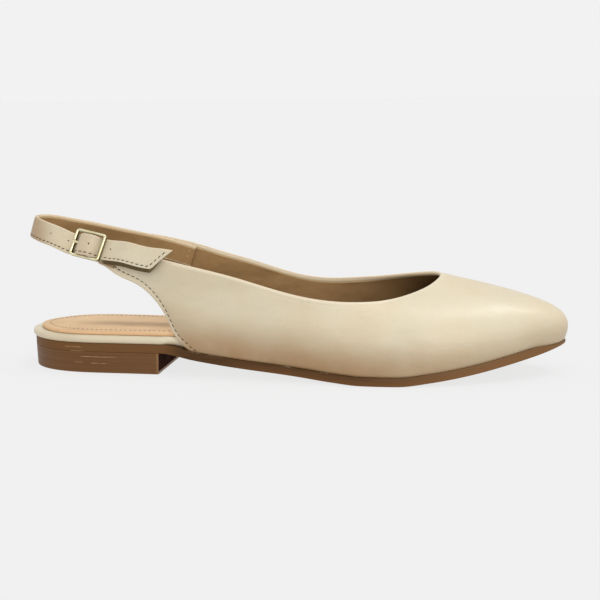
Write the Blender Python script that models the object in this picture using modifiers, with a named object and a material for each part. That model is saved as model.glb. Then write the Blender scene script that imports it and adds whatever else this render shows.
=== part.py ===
# Sling back flat, a right shoe with an almond toe, a low stacked heel and a buckled sling strap.
# Metres. +X runs to the toe, +Y to the inner side of the foot and +Z up, with the tread on z = 0.
# Shapes are worked out with x = 0 at the back of the heel, and the empty at the end centres them.

import math
from collections import namedtuple

import bmesh
import bpy
import numpy as np
from mathutils import Matrix

# Lengths and heights of the shoe
SHOE_LENGTH = 0.2630
HEEL_WIDTH = 0.0510
WAIST_WIDTH = 0.0500
BALL_WIDTH = 0.0765
TOE_SPRING = 0.0142
THROAT_HEIGHT = 0.0465
QUARTER_HEIGHT = 0.0545
STRAP_HEIGHT = 0.0676

# Sole and heel
OUTSOLE_THICKNESS = 0.0042
HEEL_BLOCK_HEIGHT = 0.0052
TOP_LIFT_HEIGHT = 0.0046
HEEL_LENGTH = 0.0715
HEEL_INSET = 0.0004
HEEL_TAPER = 0.0006

# Insole
BOARD_THICKNESS = 0.0036
BOARD_INSET = 0.0007
SOCK_THICKNESS = 0.0014
SOCK_INSET = 0.0016
TUCK_RUN = 0.0075
TUCK_CLEARANCE = 0.0018

# Upper
UPPER_WALL = 0.0018
FEATHER_INSET = 0.0011

# Sling strap and buckle
STRAP_WIDTH = 0.0100
STRAP_THICKNESS = 0.0015
TIP_SLANT = 0.0110
HOLE_DIAMETER = 0.0018
HOLE_PITCH = 0.0098
FRAME_LENGTH = 0.0157
FRAME_DEPTH = 0.0022
BAR_WIDTH = 0.0013
CENTRE_BAR_RADIUS = 0.00045
NOTCH_DEPTH = 0.0010
PRONG_WIDTH = 0.0011
PRONG_THICKNESS = 0.0006
PRONG_PAST_BAR = 0.00045
STRAP_OVER_QUARTER = 0.0013
TAB_LEATHER = 0.0006
TAB_WIDTH = 0.0064
TAB_LAP = 0.0070
TAB_BELOW_TOPLINE = 0.0002
BUCKLE_TURN = math.radians(-10.1)
BUCKLE_SLOPE = math.radians(-11.0)
BUCKLE_LEAN = math.radians(24.5)

# Clearances
GAP = 0.0003
METAL_GAP = 0.00025
FOLD_GAP = 0.0001

HEEL_HEIGHT = TOP_LIFT_HEIGHT + GAP + HEEL_BLOCK_HEIGHT + GAP
FRAME_WIDTH = STRAP_WIDTH + 2 * (BAR_WIDTH + GAP)
TAB_THICKNESS = 2 * TAB_LEATHER

# Outline of the outsole from above, once round from the back of the heel along the outer side.
# along is a share of SHOE_LENGTH, the others are shares of HEEL_WIDTH, WAIST_WIDTH and BALL_WIDTH.
Outline = namedtuple("Outline", "along heel waist ball")
OUTLINE = {
    "heel_back": Outline(0.005, 0.000, 0.0, 0.0),
    "heel_round_outer": Outline(0.031, -0.292, 0.0, 0.0),
    "heel_side_outer": Outline(0.083, -0.458, 0.0, 0.0),
    "seat_outer": Outline(0.190, -0.518, 0.0, 0.0),
    "waist_outer": Outline(0.361, 0.0, -0.566, 0.0),
    "shank_outer": Outline(0.494, 0.0, -0.300, -0.232),
    "joint_rear_outer": Outline(0.601, 0.0, 0.0, -0.492),
    "joint_outer": Outline(0.677, 0.0, 0.0, -0.514),
    "joint_front_outer": Outline(0.760, 0.0, 0.0, -0.481),
    "toe_rear_outer": Outline(0.844, 0.0, 0.0, -0.382),
    "toe_side_outer": Outline(0.924, 0.0, 0.0, -0.248),
    "toe_corner_outer": Outline(0.978, 0.0, 0.0, -0.118),
    "toe_tip": Outline(1.000, 0.0, 0.0, 0.026),
    "toe_corner_inner": Outline(0.978, 0.0, 0.0, 0.163),
    "toe_side_inner": Outline(0.924, 0.0, 0.0, 0.284),
    "toe_rear_inner": Outline(0.844, 0.0, 0.0, 0.403),
    "joint_front_inner": Outline(0.760, 0.0, 0.0, 0.479),
    "joint_inner": Outline(0.700, 0.0, 0.0, 0.484),
    "joint_rear_inner": Outline(0.608, 0.0, 0.0, 0.418),
    "shank_inner": Outline(0.494, 0.0, 0.220, 0.164),
    "waist_inner": Outline(0.361, 0.0, 0.434, 0.0),
    "seat_inner": Outline(0.190, 0.484, 0.0, 0.0),
    "heel_side_inner": Outline(0.083, 0.446, 0.0, 0.0),
    "heel_round_inner": Outline(0.031, 0.284, 0.0, 0.0),
}

# Height of the tread side of the outsole: arch, flat at the ball, toe spring.
# seat is a share of HEEL_LENGTH, along of SHOE_LENGTH, arch of HEEL_HEIGHT, spring of TOE_SPRING.
Tread = namedtuple("Tread", "seat along arch spring")
TREAD = {
    "heel_back": Tread(0.0, 0.000, 1.00, 0.00),
    "heel_front": Tread(1.03, 0.0, 1.00, 0.00),
    "shank_rear": Tread(0.0, 0.342, 0.73, 0.00),
    "arch": Tread(0.0, 0.418, 0.49, 0.00),
    "shank_front": Tread(0.0, 0.530, 0.26, 0.00),
    "ball_rear": Tread(0.0, 0.600, 0.08, 0.00),
    "flat_rear": Tread(0.0, 0.645, 0.00, 0.00),
    "flat_front": Tread(0.0, 0.708, 0.00, 0.00),
    "toe_rear": Tread(0.0, 0.765, 0.00, 0.11),
    "toe_break": Tread(0.0, 0.830, 0.00, 0.29),
    "toe_middle": Tread(0.0, 0.900, 0.00, 0.56),
    "toe_front": Tread(0.0, 0.950, 0.00, 0.79),
    "toe_tip": Tread(0.0, 1.000, 0.00, 1.03),
}

# Ribs of the upper, a row for each, from the outer tab round the toe to the end of the inner quarter.
# A rib rises from its foot to the topline. The foot of an edge rib lies on the quarter's rear edge, and
# the foot of a sole rib on the feather line, at a station of OUTLINE counted in rows.
# along is a share of SHOE_LENGTH. across is a share of a width and up of a height, where front blends
# from WAIST_WIDTH and QUARTER_HEIGHT at 0 to BALL_WIDTH and THROAT_HEIGHT at 1.
Top = namedtuple("Top", "along across up front")
EdgeFoot = namedtuple("EdgeFoot", "along across up")
# lean and reach move the two handles along the rib in plan, and rise and drop along its height, as
# shares of the rib. flare and belly push them outward, as shares of BALL_WIDTH.
Bend = namedtuple("Bend", "lean flare rise reach belly drop")

Rib = namedtuple("Rib", "foot top bend")
RIBS = {
    "outer_tab_end": Rib(
        EdgeFoot(0.169, -0.384, 0.947), Top(0.178, -0.312, 1.125, 0.0),
        Bend(0.33, 0.000, 0.33, 0.33, 0.000, 0.33)),
    "outer_tab_neck": Rib(
        EdgeFoot(0.176, -0.392, 0.940), Top(0.190, -0.328, 1.112, 0.0),
        Bend(0.33, 0.000, 0.33, 0.33, 0.000, 0.33)),
    "outer_shoulder": Rib(
        EdgeFoot(0.183, -0.400, 0.898), Top(0.205, -0.365, 1.094, 0.0),
        Bend(0.33, 0.002, 0.33, 0.33, 0.002, 0.33)),
    "outer_edge_high": Rib(
        EdgeFoot(0.203, -0.420, 0.859), Top(0.228, -0.414, 1.064, 0.0),
        Bend(0.33, 0.004, 0.33, 0.33, 0.004, 0.33)),
    "outer_edge_middle": Rib(
        EdgeFoot(0.232, -0.446, 0.803), Top(0.255, -0.460, 1.030, 0.0),
        Bend(0.33, 0.006, 0.33, 0.33, 0.006, 0.33)),
    "outer_edge_low": Rib(
        EdgeFoot(0.261, -0.478, 0.705), Top(0.281, -0.492, 1.001, 0.0),
        Bend(0.33, 0.010, 0.33, 0.33, 0.008, 0.33)),
    "outer_edge_steep": Rib(
        EdgeFoot(0.288, -0.512, 0.538), Top(0.304, -0.506, 0.978, 0.0),
        Bend(0.33, 0.014, 0.33, 0.33, 0.012, 0.33)),
    "outer_edge_base": Rib(
        EdgeFoot(0.311, -0.534, 0.330), Top(0.327, -0.518, 0.954, 0.0),
        Bend(0.33, 0.018, 0.33, 0.33, 0.016, 0.33)),
    "outer_corner": Rib(
        3.83, Top(0.346, -0.524, 0.934, 0.0), Bend(0.33, 0.020, 0.33, 0.33, 0.018, 0.33)),
    "outer_waist": Rib(
        4.42, Top(0.418, -0.488, 0.898, 0.3), Bend(0.10, 0.028, 0.36, 0.20, 0.022, 0.33)),
    "outer_shank": Rib(
        5.33, Top(0.520, -0.434, 0.828, 0.8), Bend(0.00, 0.034, 0.38, 0.10, 0.026, 0.33)),
    "outer_joint_rear": Rib(
        6.10, Top(0.597, -0.408, 0.800, 1.0), Bend(0.00, 0.036, 0.42, 0.25, 0.018, 0.28)),
    "outer_joint": Rib(
        7.00, Top(0.655, -0.348, 0.808, 1.0), Bend(0.00, 0.036, 0.48, 0.55, 0.006, 0.18)),
    "outer_joint_front": Rib(
        8.00, Top(0.697, -0.270, 0.840, 1.0), Bend(0.00, 0.036, 0.54, 0.66, 0.000, 0.17)),
    "outer_toe_rear": Rib(
        9.00, Top(0.728, -0.190, 0.885, 1.0), Bend(0.00, 0.038, 0.56, 0.70, 0.000, 0.20)),
    "outer_toe_side": Rib(
        10.0, Top(0.750, -0.112, 0.930, 1.0), Bend(0.00, 0.045, 0.58, 0.71, 0.000, 0.25)),
    "outer_toe_corner": Rib(
        11.0, Top(0.763, -0.042, 0.967, 1.0), Bend(0.00, 0.050, 0.58, 0.73, 0.000, 0.31)),
    "toe_tip": Rib(
        12.0, Top(0.768, 0.020, 0.995, 1.0), Bend(0.00, 0.057, 0.58, 0.74, 0.000, 0.37)),
    "inner_toe_corner": Rib(
        13.0, Top(0.764, 0.080, 1.002, 1.0), Bend(0.00, 0.050, 0.58, 0.73, 0.000, 0.31)),
    "inner_toe_side": Rib(
        14.0, Top(0.750, 0.150, 0.992, 1.0), Bend(0.00, 0.046, 0.58, 0.71, 0.000, 0.24)),
    "inner_toe_rear": Rib(
        15.0, Top(0.725, 0.222, 0.968, 1.0), Bend(0.00, 0.040, 0.56, 0.70, 0.000, 0.19)),
    "inner_joint_front": Rib(
        16.0, Top(0.690, 0.298, 0.930, 1.0), Bend(0.00, 0.038, 0.54, 0.64, 0.002, 0.17)),
    "inner_joint": Rib(
        17.0, Top(0.650, 0.352, 0.892, 1.0), Bend(0.00, 0.038, 0.46, 0.50, 0.006, 0.20)),
    "inner_joint_rear": Rib(
        18.0, Top(0.592, 0.384, 0.858, 1.0), Bend(0.00, 0.034, 0.38, 0.20, 0.020, 0.28)),
    "inner_shank": Rib(
        19.0, Top(0.498, 0.402, 0.858, 0.8), Bend(0.00, 0.028, 0.36, 0.20, 0.028, 0.33)),
    "inner_waist": Rib(
        19.6, Top(0.412, 0.462, 0.916, 0.3), Bend(0.20, 0.022, 0.34, 0.30, 0.026, 0.33)),
    "inner_corner": Rib(
        20.17, Top(0.342, 0.498, 0.976, 0.0), Bend(0.33, 0.018, 0.33, 0.33, 0.020, 0.33)),
    "inner_edge_base": Rib(
        EdgeFoot(0.311, 0.448, 0.330), Top(0.326, 0.490, 1.002, 0.0),
        Bend(0.33, 0.016, 0.33, 0.33, 0.016, 0.33)),
    "inner_edge_steep": Rib(
        EdgeFoot(0.288, 0.446, 0.540), Top(0.307, 0.480, 1.029, 0.0),
        Bend(0.33, 0.012, 0.33, 0.33, 0.012, 0.33)),
    "inner_edge_low": Rib(
        EdgeFoot(0.266, 0.440, 0.705), Top(0.288, 0.468, 1.055, 0.0),
        Bend(0.33, 0.010, 0.33, 0.33, 0.008, 0.33)),
    "inner_edge_middle": Rib(
        EdgeFoot(0.246, 0.434, 0.808), Top(0.268, 0.456, 1.078, 0.0),
        Bend(0.33, 0.006, 0.33, 0.33, 0.006, 0.33)),
    "inner_strap_root": Rib(
        EdgeFoot(0.226, 0.426, 0.868), Top(0.243, 0.443, 1.103, 0.0),
        Bend(0.33, 0.003, 0.33, 0.33, 0.003, 0.33)),
    "inner_strap_end": Rib(
        EdgeFoot(0.207, 0.418, 0.903), Top(0.218, 0.430, 1.126, 0.0),
        Bend(0.33, 0.002, 0.33, 0.33, 0.002, 0.33)),
}
RIB_NAMES = list(RIBS)

# Lap of the sling strap inside the inner quarter. along is a share of SHOE_LENGTH, and below sets the
# strap's upper edge under the topline, as a share of STRAP_WIDTH.
Lap = namedtuple("Lap", "along below")
STRAP_LAP = {
    "front": Lap(0.3000, 0.04),
    "front_middle": Lap(0.2805, 0.01),
    "middle": Lap(0.2610, -0.02),
    "rear_middle": Lap(0.2415, -0.05),
    "rear": Lap(0.2220, -0.08),
}

# Middle line of the sling strap where it is free, from the inner quarter round the heel to the buckle.
# along is a share of SHOE_LENGTH, across of HEEL_WIDTH and up of STRAP_HEIGHT. lean is in degrees and
# tips the upper edge inward.
Free = namedtuple("Free", "along across up lean")
STRAP_FREE = {
    "inner_rear": Free(0.157, 0.376, 0.890, 8),
    "inner_heel": Free(0.099, 0.334, 0.941, 10),
    "inner_round": Free(0.059, 0.264, 0.976, 11),
    "inner_turn": Free(0.026, 0.156, 0.997, 12),
    "back": Free(0.013, 0.006, 1.000, 12),
    "outer_turn": Free(0.024, -0.120, 0.995, 14),
    "outer_round": Free(0.046, -0.206, 0.982, 18),
    "outer_heel": Free(0.072, -0.268, 0.964, 22),
}

# Middle line of the strap across the buckle, from behind the rear bar to past the front bar.
# along is a share of FRAME_LENGTH from the centre bar. over is a share of the rise from under the outer
# bars to over the prong.
Weave = namedtuple("Weave", "along over")
STRAP_WEAVE = {
    "behind": Weave(-0.80, 0.04),
    "rear_bar": Weave(-0.47, 0.00),
    "rear_inside": Weave(-0.40, 0.01),
    "climb": Weave(-0.30, 0.47),
    "hump_rear": Weave(-0.205, 0.90),
    "centre_bar": Weave(0.00, 1.00),
    "hump_front": Weave(0.17, 0.83),
    "descent": Weave(0.325, 0.25),
    "front_inside": Weave(0.392, 0.06),
    "front_bar": Weave(0.46, 0.00),
}

# Middle line of the strap past the buckle, beside the topline of the outer quarter.
# along is a share of SHOE_LENGTH, lift and stand_off are shares of STRAP_WIDTH.
Beside = namedtuple("Beside", "along lift stand_off lean")
STRAP_FRONT = {
    "front_near": Beside(0.221, -0.10, 0.340, 21),
    "front_middle": Beside(0.255, 0.04, 0.310, 17),
    "tip_middle": Beside(0.292, 0.22, 0.340, 12),
    "tip": Beside(0.309, 0.30, 0.370, 10),
}

# Holes of the strap, counted in pitches from the centre bar
HOLE_PLACES = (-2, -1, 0, 1)

# The slot that lets the prong through the strap, and the one round the prong's hook in the tab, as
# shares of FRAME_LENGTH from the centre bar
Slot = namedtuple("Slot", "middle length")
PRONG_SLOT = Slot(-0.26, 0.22)
TAB_SLOT = Slot(-0.08, 0.42)

# Facet sizes
UPPER_STEP = 0.0052
UPPER_ROWS = 12
SOLE_STATIONS = 56
HEEL_STATIONS = 22
STRAP_STEP = 0.0032
WEAVE_STEP = 0.0008
TAB_STATIONS = 64
ROUND_SIDES = 12
SHARP_ANGLE = math.radians(40)

# How the small forms are shaped, as shares of their own sizes
EDGE_ROUND = 0.45
EDGE_STEP = 0.30
STRAP_EDGE = 0.28
WEAVE_RUN = 0.62
TIP_RUN = 2.6
TAB_KNEE = 0.86
PRONG_TAPER = 0.45
PRONG_HOOK = np.radians(np.linspace(-165, 90, 12))
TAB_FOLD = np.radians(np.linspace(50, 290, 13))

# Material looks: colour, roughness and metallic
LEATHER = ((0.72, 0.62, 0.47, 1), 0.45, 0.0)
LINING = ((0.50, 0.33, 0.16, 1), 0.60, 0.0)
SOLE_BROWN = ((0.33, 0.19, 0.09, 1), 0.55, 0.0)
STACK_BROWN = ((0.30, 0.17, 0.09, 1), 0.50, 0.0)
PALE_GOLD = ((0.83, 0.74, 0.47, 1), 0.25, 1.0)


def cubic(knots, rows):
    """Natural cubic spline through rows of numbers, a function of the knots."""
    knots = np.asarray(knots, float)
    rows = np.asarray(rows, float).reshape(len(knots), -1)
    gaps = np.diff(knots)
    slopes = np.diff(rows, axis=0) / gaps[:, None]
    count = len(knots)
    matrix = np.eye(count)
    right = np.zeros_like(rows)
    for i in range(1, count - 1):
        matrix[i, i - 1:i + 2] = gaps[i - 1], 2 * (gaps[i - 1] + gaps[i]), gaps[i]
        right[i] = 6 * (slopes[i] - slopes[i - 1])
    bends = np.linalg.solve(matrix, right)

    def at(where):
        where = np.atleast_1d(np.asarray(where, float))
        i = np.clip(np.searchsorted(knots, where) - 1, 0, count - 2)
        a = (knots[i + 1] - where)[:, None]
        b = (where - knots[i])[:, None]
        gap = gaps[i][:, None]
        low = rows[i] / gap - bends[i] * gap / 6
        high = rows[i + 1] / gap - bends[i + 1] * gap / 6
        return bends[i] * a**3 / (6 * gap) + bends[i + 1] * b**3 / (6 * gap) + low * a + high * b

    return at


def chord_knots(points):
    """Distance run along a row of points."""
    steps = np.linalg.norm(np.diff(points, axis=0), axis=1)
    return np.concatenate([[0.0], np.cumsum(steps)])


def even_slopes(knots, values):
    """Curve through values that never swings past them, so a flat stretch stays flat."""
    gaps = np.diff(knots)
    slopes = np.diff(values) / gaps
    ends = np.zeros(len(knots))
    for i in range(1, len(knots) - 1):
        if slopes[i - 1] * slopes[i] > 0:
            before = 2 * gaps[i] + gaps[i - 1]
            after = gaps[i] + 2 * gaps[i - 1]
            ends[i] = (before + after) / (before / slopes[i - 1] + after / slopes[i])
    ends[-1] = slopes[-1]

    def at(where):
        where = np.asarray(where, float)
        i = np.clip(np.searchsorted(knots, where) - 1, 0, len(gaps) - 1)
        t = (where - knots[i]) / gaps[i]
        swing = (3 - 2 * t) * t * t
        lift = values[i] + (values[i + 1] - values[i]) * swing
        return lift + gaps[i] * (ends[i] * t * (1 - t) ** 2 - ends[i + 1] * t * t * (1 - t))

    return at


def unit(vectors):
    vectors = np.asarray(vectors, float)
    return vectors / np.linalg.norm(vectors, axis=-1, keepdims=True)


def ease(start, end, where):
    """0 before start, 1 after end, smooth between."""
    t = np.clip((where - start) / (end - start), 0, 1)
    return t * t * (3 - 2 * t)


# Outline of the sole

outline_rows = np.array([
    (row.along * SHOE_LENGTH, row.heel * HEEL_WIDTH + row.waist * WAIST_WIDTH + row.ball * BALL_WIDTH)
    for row in OUTLINE.values()
])
OUTLINE_COUNT = len(outline_rows)
WRAP = 6
wrapped = np.concatenate([outline_rows[-WRAP:], outline_rows, outline_rows[:WRAP + 1]])
wrapped_knots = chord_knots(wrapped)
outline_curve = cubic(wrapped_knots, wrapped)
row_to_knot = cubic(np.arange(len(wrapped)), wrapped_knots)


def outline(station):
    """Points and outward normals of the sole's edge at stations counted in rows of OUTLINE."""
    knot = row_to_knot(np.atleast_1d(station) + WRAP)[:, 0]
    tiny = SHOE_LENGTH * 1e-4
    run = unit(outline_curve(knot + tiny) - outline_curve(knot - tiny))
    return outline_curve(knot), np.stack([run[:, 1], -run[:, 0]], 1)


EDGE_SAMPLES = np.linspace(0, OUTLINE_COUNT, 1200)
EDGE_POINTS, EDGE_NORMALS = outline(EDGE_SAMPLES)


def edges(inset):
    """Rear end, front end and the two sides of the outline moved inward, inset being one number or one
    for each sample. The sides are functions of x."""
    moved = EDGE_POINTS - EDGE_NORMALS * np.reshape(inset, (-1, 1))
    rear = np.argmin(moved[:, 0])
    moved = np.roll(moved[:-1], -rear, axis=0)
    front = np.argmax(moved[:, 0])
    outer = moved[:front + 1]
    inner = np.concatenate([moved[front:], moved[:1]])[::-1]

    def side(line):
        order = np.argsort(line[:, 0], kind="stable")
        return lambda x: np.interp(x, line[order, 0], line[order, 1])

    return moved[0, 0], moved[front, 0], side(outer), side(inner)


tread_height = even_slopes(
    np.array([row.seat * HEEL_LENGTH + row.along * SHOE_LENGTH for row in TREAD.values()]),
    np.array([row.arch * HEEL_HEIGHT + row.spring * TOE_SPRING for row in TREAD.values()]))


def sole_top(x):
    return tread_height(x) + OUTSOLE_THICKNESS


# Upper

def blend(low, high, share):
    return low + (high - low) * share


def top_of(top):
    return (
        top.along * SHOE_LENGTH,
        top.across * blend(WAIST_WIDTH, BALL_WIDTH, top.front),
        top.up * blend(QUARTER_HEIGHT, THROAT_HEIGHT, top.front),
    )


def feather(station):
    """Foot points on the feather line and the outward directions there."""
    point, normal = outline(station)
    point = point - normal * FEATHER_INSET
    height = sole_top(point[:, 0]) + GAP
    return np.column_stack([point, height]), np.column_stack([normal, 0 * height])


def foot_of(rib):
    if isinstance(rib.foot, EdgeFoot):
        return np.array([
            rib.foot.along * SHOE_LENGTH, rib.foot.across * WAIST_WIDTH, rib.foot.up * QUARTER_HEIGHT])
    return feather(rib.foot)[0][0]


rib_tops = np.array([top_of(rib.top) for rib in RIBS.values()])
rib_feet = np.array([foot_of(rib) for rib in RIBS.values()])
rib_knots = chord_knots((rib_tops + rib_feet) / 2)
OUTER_CORNER = RIB_NAMES.index("outer_corner")
INNER_CORNER = RIB_NAMES.index("inner_corner")

top_curve = cubic(rib_knots, rib_tops)
bend_curve = cubic(rib_knots, [rib.bend for rib in RIBS.values()])
outer_edge_curve = cubic(rib_knots[:OUTER_CORNER + 1], rib_feet[:OUTER_CORNER + 1])
inner_edge_curve = cubic(rib_knots[INNER_CORNER:], rib_feet[INNER_CORNER:])
station_curve = cubic(
    rib_knots[OUTER_CORNER:INNER_CORNER + 1],
    [rib.foot for rib in RIBS.values() if not isinstance(rib.foot, EdgeFoot)])


def rib_points(knot):
    """Foot, two handles and top of the rib at a knot."""
    top = top_curve(knot)[0]
    lean, flare, rise, reach, belly, drop = bend_curve(knot)[0]
    corner = np.clip(knot, rib_knots[OUTER_CORNER], rib_knots[INNER_CORNER])
    foot, outward = feather(station_curve(corner)[:, 0])
    foot, outward = foot[0], outward[0]
    if knot < rib_knots[OUTER_CORNER]:
        foot = outer_edge_curve(knot)[0]
    elif knot > rib_knots[INNER_CORNER]:
        foot = inner_edge_curve(knot)[0]
    plan = (top - foot) * (1, 1, 0)
    height = np.array([0, 0, top[2] - foot[2]])
    low = foot + lean * plan + rise * height + outward * flare * BALL_WIDTH
    high = top - reach * plan - drop * height + outward * belly * BALL_WIDTH
    return foot, low, high, top


def upper_point(knot, share):
    """Point of the outer surface, share running from the foot at 0 to the topline at 1."""
    foot, low, high, top = rib_points(knot)
    rest = 1 - share
    return rest**3 * foot + 3 * rest**2 * share * low + 3 * rest * share**2 * high + share**3 * top


def upper_normal(knot, share):
    """Outward direction of the surface."""
    tiny_knot = rib_knots[-1] * 1e-4
    tiny_share = 1e-3
    along = upper_point(min(knot + tiny_knot, rib_knots[-1]), share) - upper_point(
        max(knot - tiny_knot, 0), share)
    up = upper_point(knot, min(share + tiny_share, 1)) - upper_point(knot, max(share - tiny_share, 0))
    return unit(np.cross(along, up))


def knot_at_length(along, side):
    """Knot of the outer or inner side where the topline is at a share of SHOE_LENGTH."""
    tip = rib_knots[RIB_NAMES.index("toe_tip")]
    knots = np.linspace(0, tip, 400) if side == "outer" else np.linspace(rib_knots[-1], tip, 400)
    return float(np.interp(along * SHOE_LENGTH, top_curve(knots)[:, 0], knots))


def share_below_top(knot, distance):
    """Share of the rib at a distance below the topline."""
    shares = np.linspace(0, 1, 60)
    points = np.array([upper_point(knot, share) for share in shares])
    return float(np.interp(-distance, -np.linalg.norm(points - points[-1], axis=1), shares))


def band_on_upper(knot, top_margin, width, offset):
    """Middle point and upward direction of a band that lies on the upper, offset outward from its outer
    surface to the middle of the band."""
    edge_points = []
    for distance in (max(top_margin, 0.0), max(top_margin, 0.0) + width):
        share = share_below_top(knot, distance)
        edge_points.append(upper_point(knot, share) + upper_normal(knot, share) * offset)
    up = unit(edge_points[0] - edge_points[1])
    return (edge_points[0] + edge_points[1]) / 2 - up * min(top_margin, 0.0), up


# Buckle, which hangs on the end of the outer quarter

BUCKLE_ALONG = np.array([
    math.cos(BUCKLE_TURN) * math.cos(BUCKLE_SLOPE),
    math.sin(BUCKLE_TURN) * math.cos(BUCKLE_SLOPE),
    math.sin(BUCKLE_SLOPE),
])


def leaned(along, lean):
    """Upward and outward directions across a band that runs along a direction on the outer side."""
    up = np.array([0, 0, 1.0])
    up = unit(up - along * (up @ along))
    out = np.cross(along, up)
    return up * math.cos(lean) - out * math.sin(lean), out * math.cos(lean) + up * math.sin(lean)


BUCKLE_UP, BUCKLE_OUT = leaned(BUCKLE_ALONG, BUCKLE_LEAN)
UNDER_BAR = FRAME_DEPTH / 2 + METAL_GAP + STRAP_THICKNESS / 2
TAB_STACK = GAP + TAB_THICKNESS + GAP + STRAP_THICKNESS / 2
BUCKLE_CENTRE = (
    rib_tops[0]
    - BUCKLE_ALONG * (FRAME_LENGTH / 2 + METAL_GAP)
    - BUCKLE_UP * (STRAP_WIDTH / 2 - STRAP_OVER_QUARTER)
    + BUCKLE_OUT * (TAB_STACK + UNDER_BAR)
)
PRONG_OVER_BAR = FRAME_DEPTH / 2 - NOTCH_DEPTH + METAL_GAP + PRONG_THICKNESS / 2
PRONG_EYE_RADIUS = CENTRE_BAR_RADIUS + METAL_GAP + PRONG_THICKNESS / 2
PRONG_PEAK = max(PRONG_OVER_BAR, PRONG_EYE_RADIUS) + PRONG_THICKNESS / 2
OVER_PRONG = PRONG_PEAK + METAL_GAP + STRAP_THICKNESS / 2


def at_buckle(along, out, up=0.0):
    return BUCKLE_CENTRE + BUCKLE_ALONG * along + BUCKLE_OUT * out + BUCKLE_UP * up


# Sling strap

def strap_rows():
    """Middle points of the strap and its upward directions, from the inner lap to the outer tip."""
    rows = []
    inside = -(UPPER_WALL + GAP + GAP + STRAP_THICKNESS / 2)
    for lap in STRAP_LAP.values():
        knot = knot_at_length(lap.along, "inner")
        rows.append(band_on_upper(knot, lap.below * STRAP_WIDTH, STRAP_WIDTH, inside))
    free = list(STRAP_FREE.values())
    middles = np.array([
        (row.along * SHOE_LENGTH, row.across * HEEL_WIDTH, row.up * STRAP_HEIGHT) for row in free])
    joined = np.array([rows[-1][0], *middles, at_buckle(STRAP_WEAVE["behind"].along * FRAME_LENGTH, 0)])
    for i, row in enumerate(free, 1):
        up, _ = leaned(unit(joined[i + 1] - joined[i - 1]), math.radians(row.lean))
        rows.append((joined[i], up))
    for row in STRAP_WEAVE.values():
        rise = -UNDER_BAR + row.over * (UNDER_BAR + OVER_PRONG)
        rows.append((at_buckle(row.along * FRAME_LENGTH, rise), BUCKLE_UP))
    for row in STRAP_FRONT.values():
        knot = knot_at_length(row.along, "outer")
        tiny = SHOE_LENGTH * 1e-3
        run = unit(top_curve(knot + tiny)[0] - top_curve(knot - tiny)[0])
        up, out = leaned(run, math.radians(row.lean))
        rows.append((
            top_curve(knot)[0] + up * row.lift * STRAP_WIDTH + out * row.stand_off * STRAP_WIDTH, up))
    return rows


strap_points = np.array([point for point, _ in strap_rows()])
strap_knots = chord_knots(strap_points)
strap_middle = cubic(strap_knots, strap_points)
strap_up = cubic(strap_knots, [up for _, up in strap_rows()])
STRAP_RUN = strap_knots[-1]
BUCKLE_RUN = strap_knots[len(STRAP_LAP) + len(STRAP_FREE) + list(STRAP_WEAVE).index("centre_bar")]


def strap_frame(run):
    """Middle point, forward, upward and outward directions of the strap at a distance along it."""
    tiny = STRAP_THICKNESS / 10
    point = strap_middle(run)[0]
    forward = unit(strap_middle(run + tiny)[0] - strap_middle(run - tiny)[0])
    up = strap_up(run)[0]
    up = unit(up - forward * (up @ forward))
    return point, forward, up, np.cross(forward, up)


# Meshes

collection = None


def add_object(name, mesh, material):
    obj = bpy.data.objects.new(name, mesh)
    mesh.materials.append(material)
    collection.objects.link(obj)
    mesh.shade_smooth()
    mesh.set_sharp_from_angle(angle=SHARP_ANGLE)
    return obj


def mesh_from(name, points, faces):
    mesh = bpy.data.meshes.new(name)
    mesh.from_pydata([tuple(point) for point in points], [], faces)
    shape = bmesh.new()
    shape.from_mesh(mesh)
    bmesh.ops.recalc_face_normals(shape, faces=shape.faces)
    shape.to_mesh(mesh)
    shape.free()
    return mesh


def loft(name, rings):
    """Closed solid through rings of equal count, with a face at each end."""
    count = len(rings[0])
    points = np.concatenate(rings)
    faces = [tuple(range(count)), tuple(range(len(points) - count, len(points)))]
    for i in range(len(rings) - 1):
        for j in range(count):
            near = i * count + j
            beside = i * count + (j + 1) % count
            faces.append((near, beside, beside + count, near + count))
    return mesh_from(name, points, faces)


def grid(name, rows):
    """Open sheet through rows of points."""
    count = len(rows[0])
    faces = [
        (i * count + j, i * count + j + 1, (i + 1) * count + j + 1, (i + 1) * count + j)
        for i in range(len(rows) - 1)
        for j in range(count - 1)
    ]
    return mesh_from(name, np.concatenate(rows), faces)


def material_of(name, look):
    colour, roughness, metallic = look
    material = bpy.data.materials.new(name)
    material.use_nodes = True
    shader = material.node_tree.nodes["Principled BSDF"]
    shader.inputs["Base Color"].default_value = colour
    shader.inputs["Roughness"].default_value = roughness
    shader.inputs["Metallic"].default_value = metallic
    return material


def stations(start, end, count):
    """Places between two ends, closer together near both."""
    return start + (end - start) * (1 - np.cos(np.linspace(0, math.pi, count))) / 2


END_TRIM = 0.00012


def plate(name, material, inset, bottom, top, corner=0.0):
    """Flat or bent plate inside the outline. bottom and top are functions of x, corner rounds its edge."""
    rear, front, outer, inner = edges(inset)
    rings = []
    for x in stations(rear + END_TRIM, front - END_TRIM, SOLE_STATIONS):
        y_outer, y_inner = float(outer(x)), float(inner(x))
        low, high = float(bottom(x)), float(top(x))
        side = min(corner, (y_inner - y_outer) * EDGE_STEP)
        steps = [(0.0, 0.0)]
        if corner:
            steps = [(side, 0.0), (side * EDGE_STEP, corner * EDGE_STEP), (0.0, corner)]
        ring = [(x, y_outer + inward, low + up) for inward, up in steps]
        ring += [(x, y_outer + inward, high - up) for inward, up in steps[::-1]]
        ring += [(x, y_inner - inward, high - up) for inward, up in steps]
        ring += [(x, y_inner - inward, low + up) for inward, up in steps[::-1]]
        rings.append(np.array(ring))
    return add_object(name, loft(name, rings), material)


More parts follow.
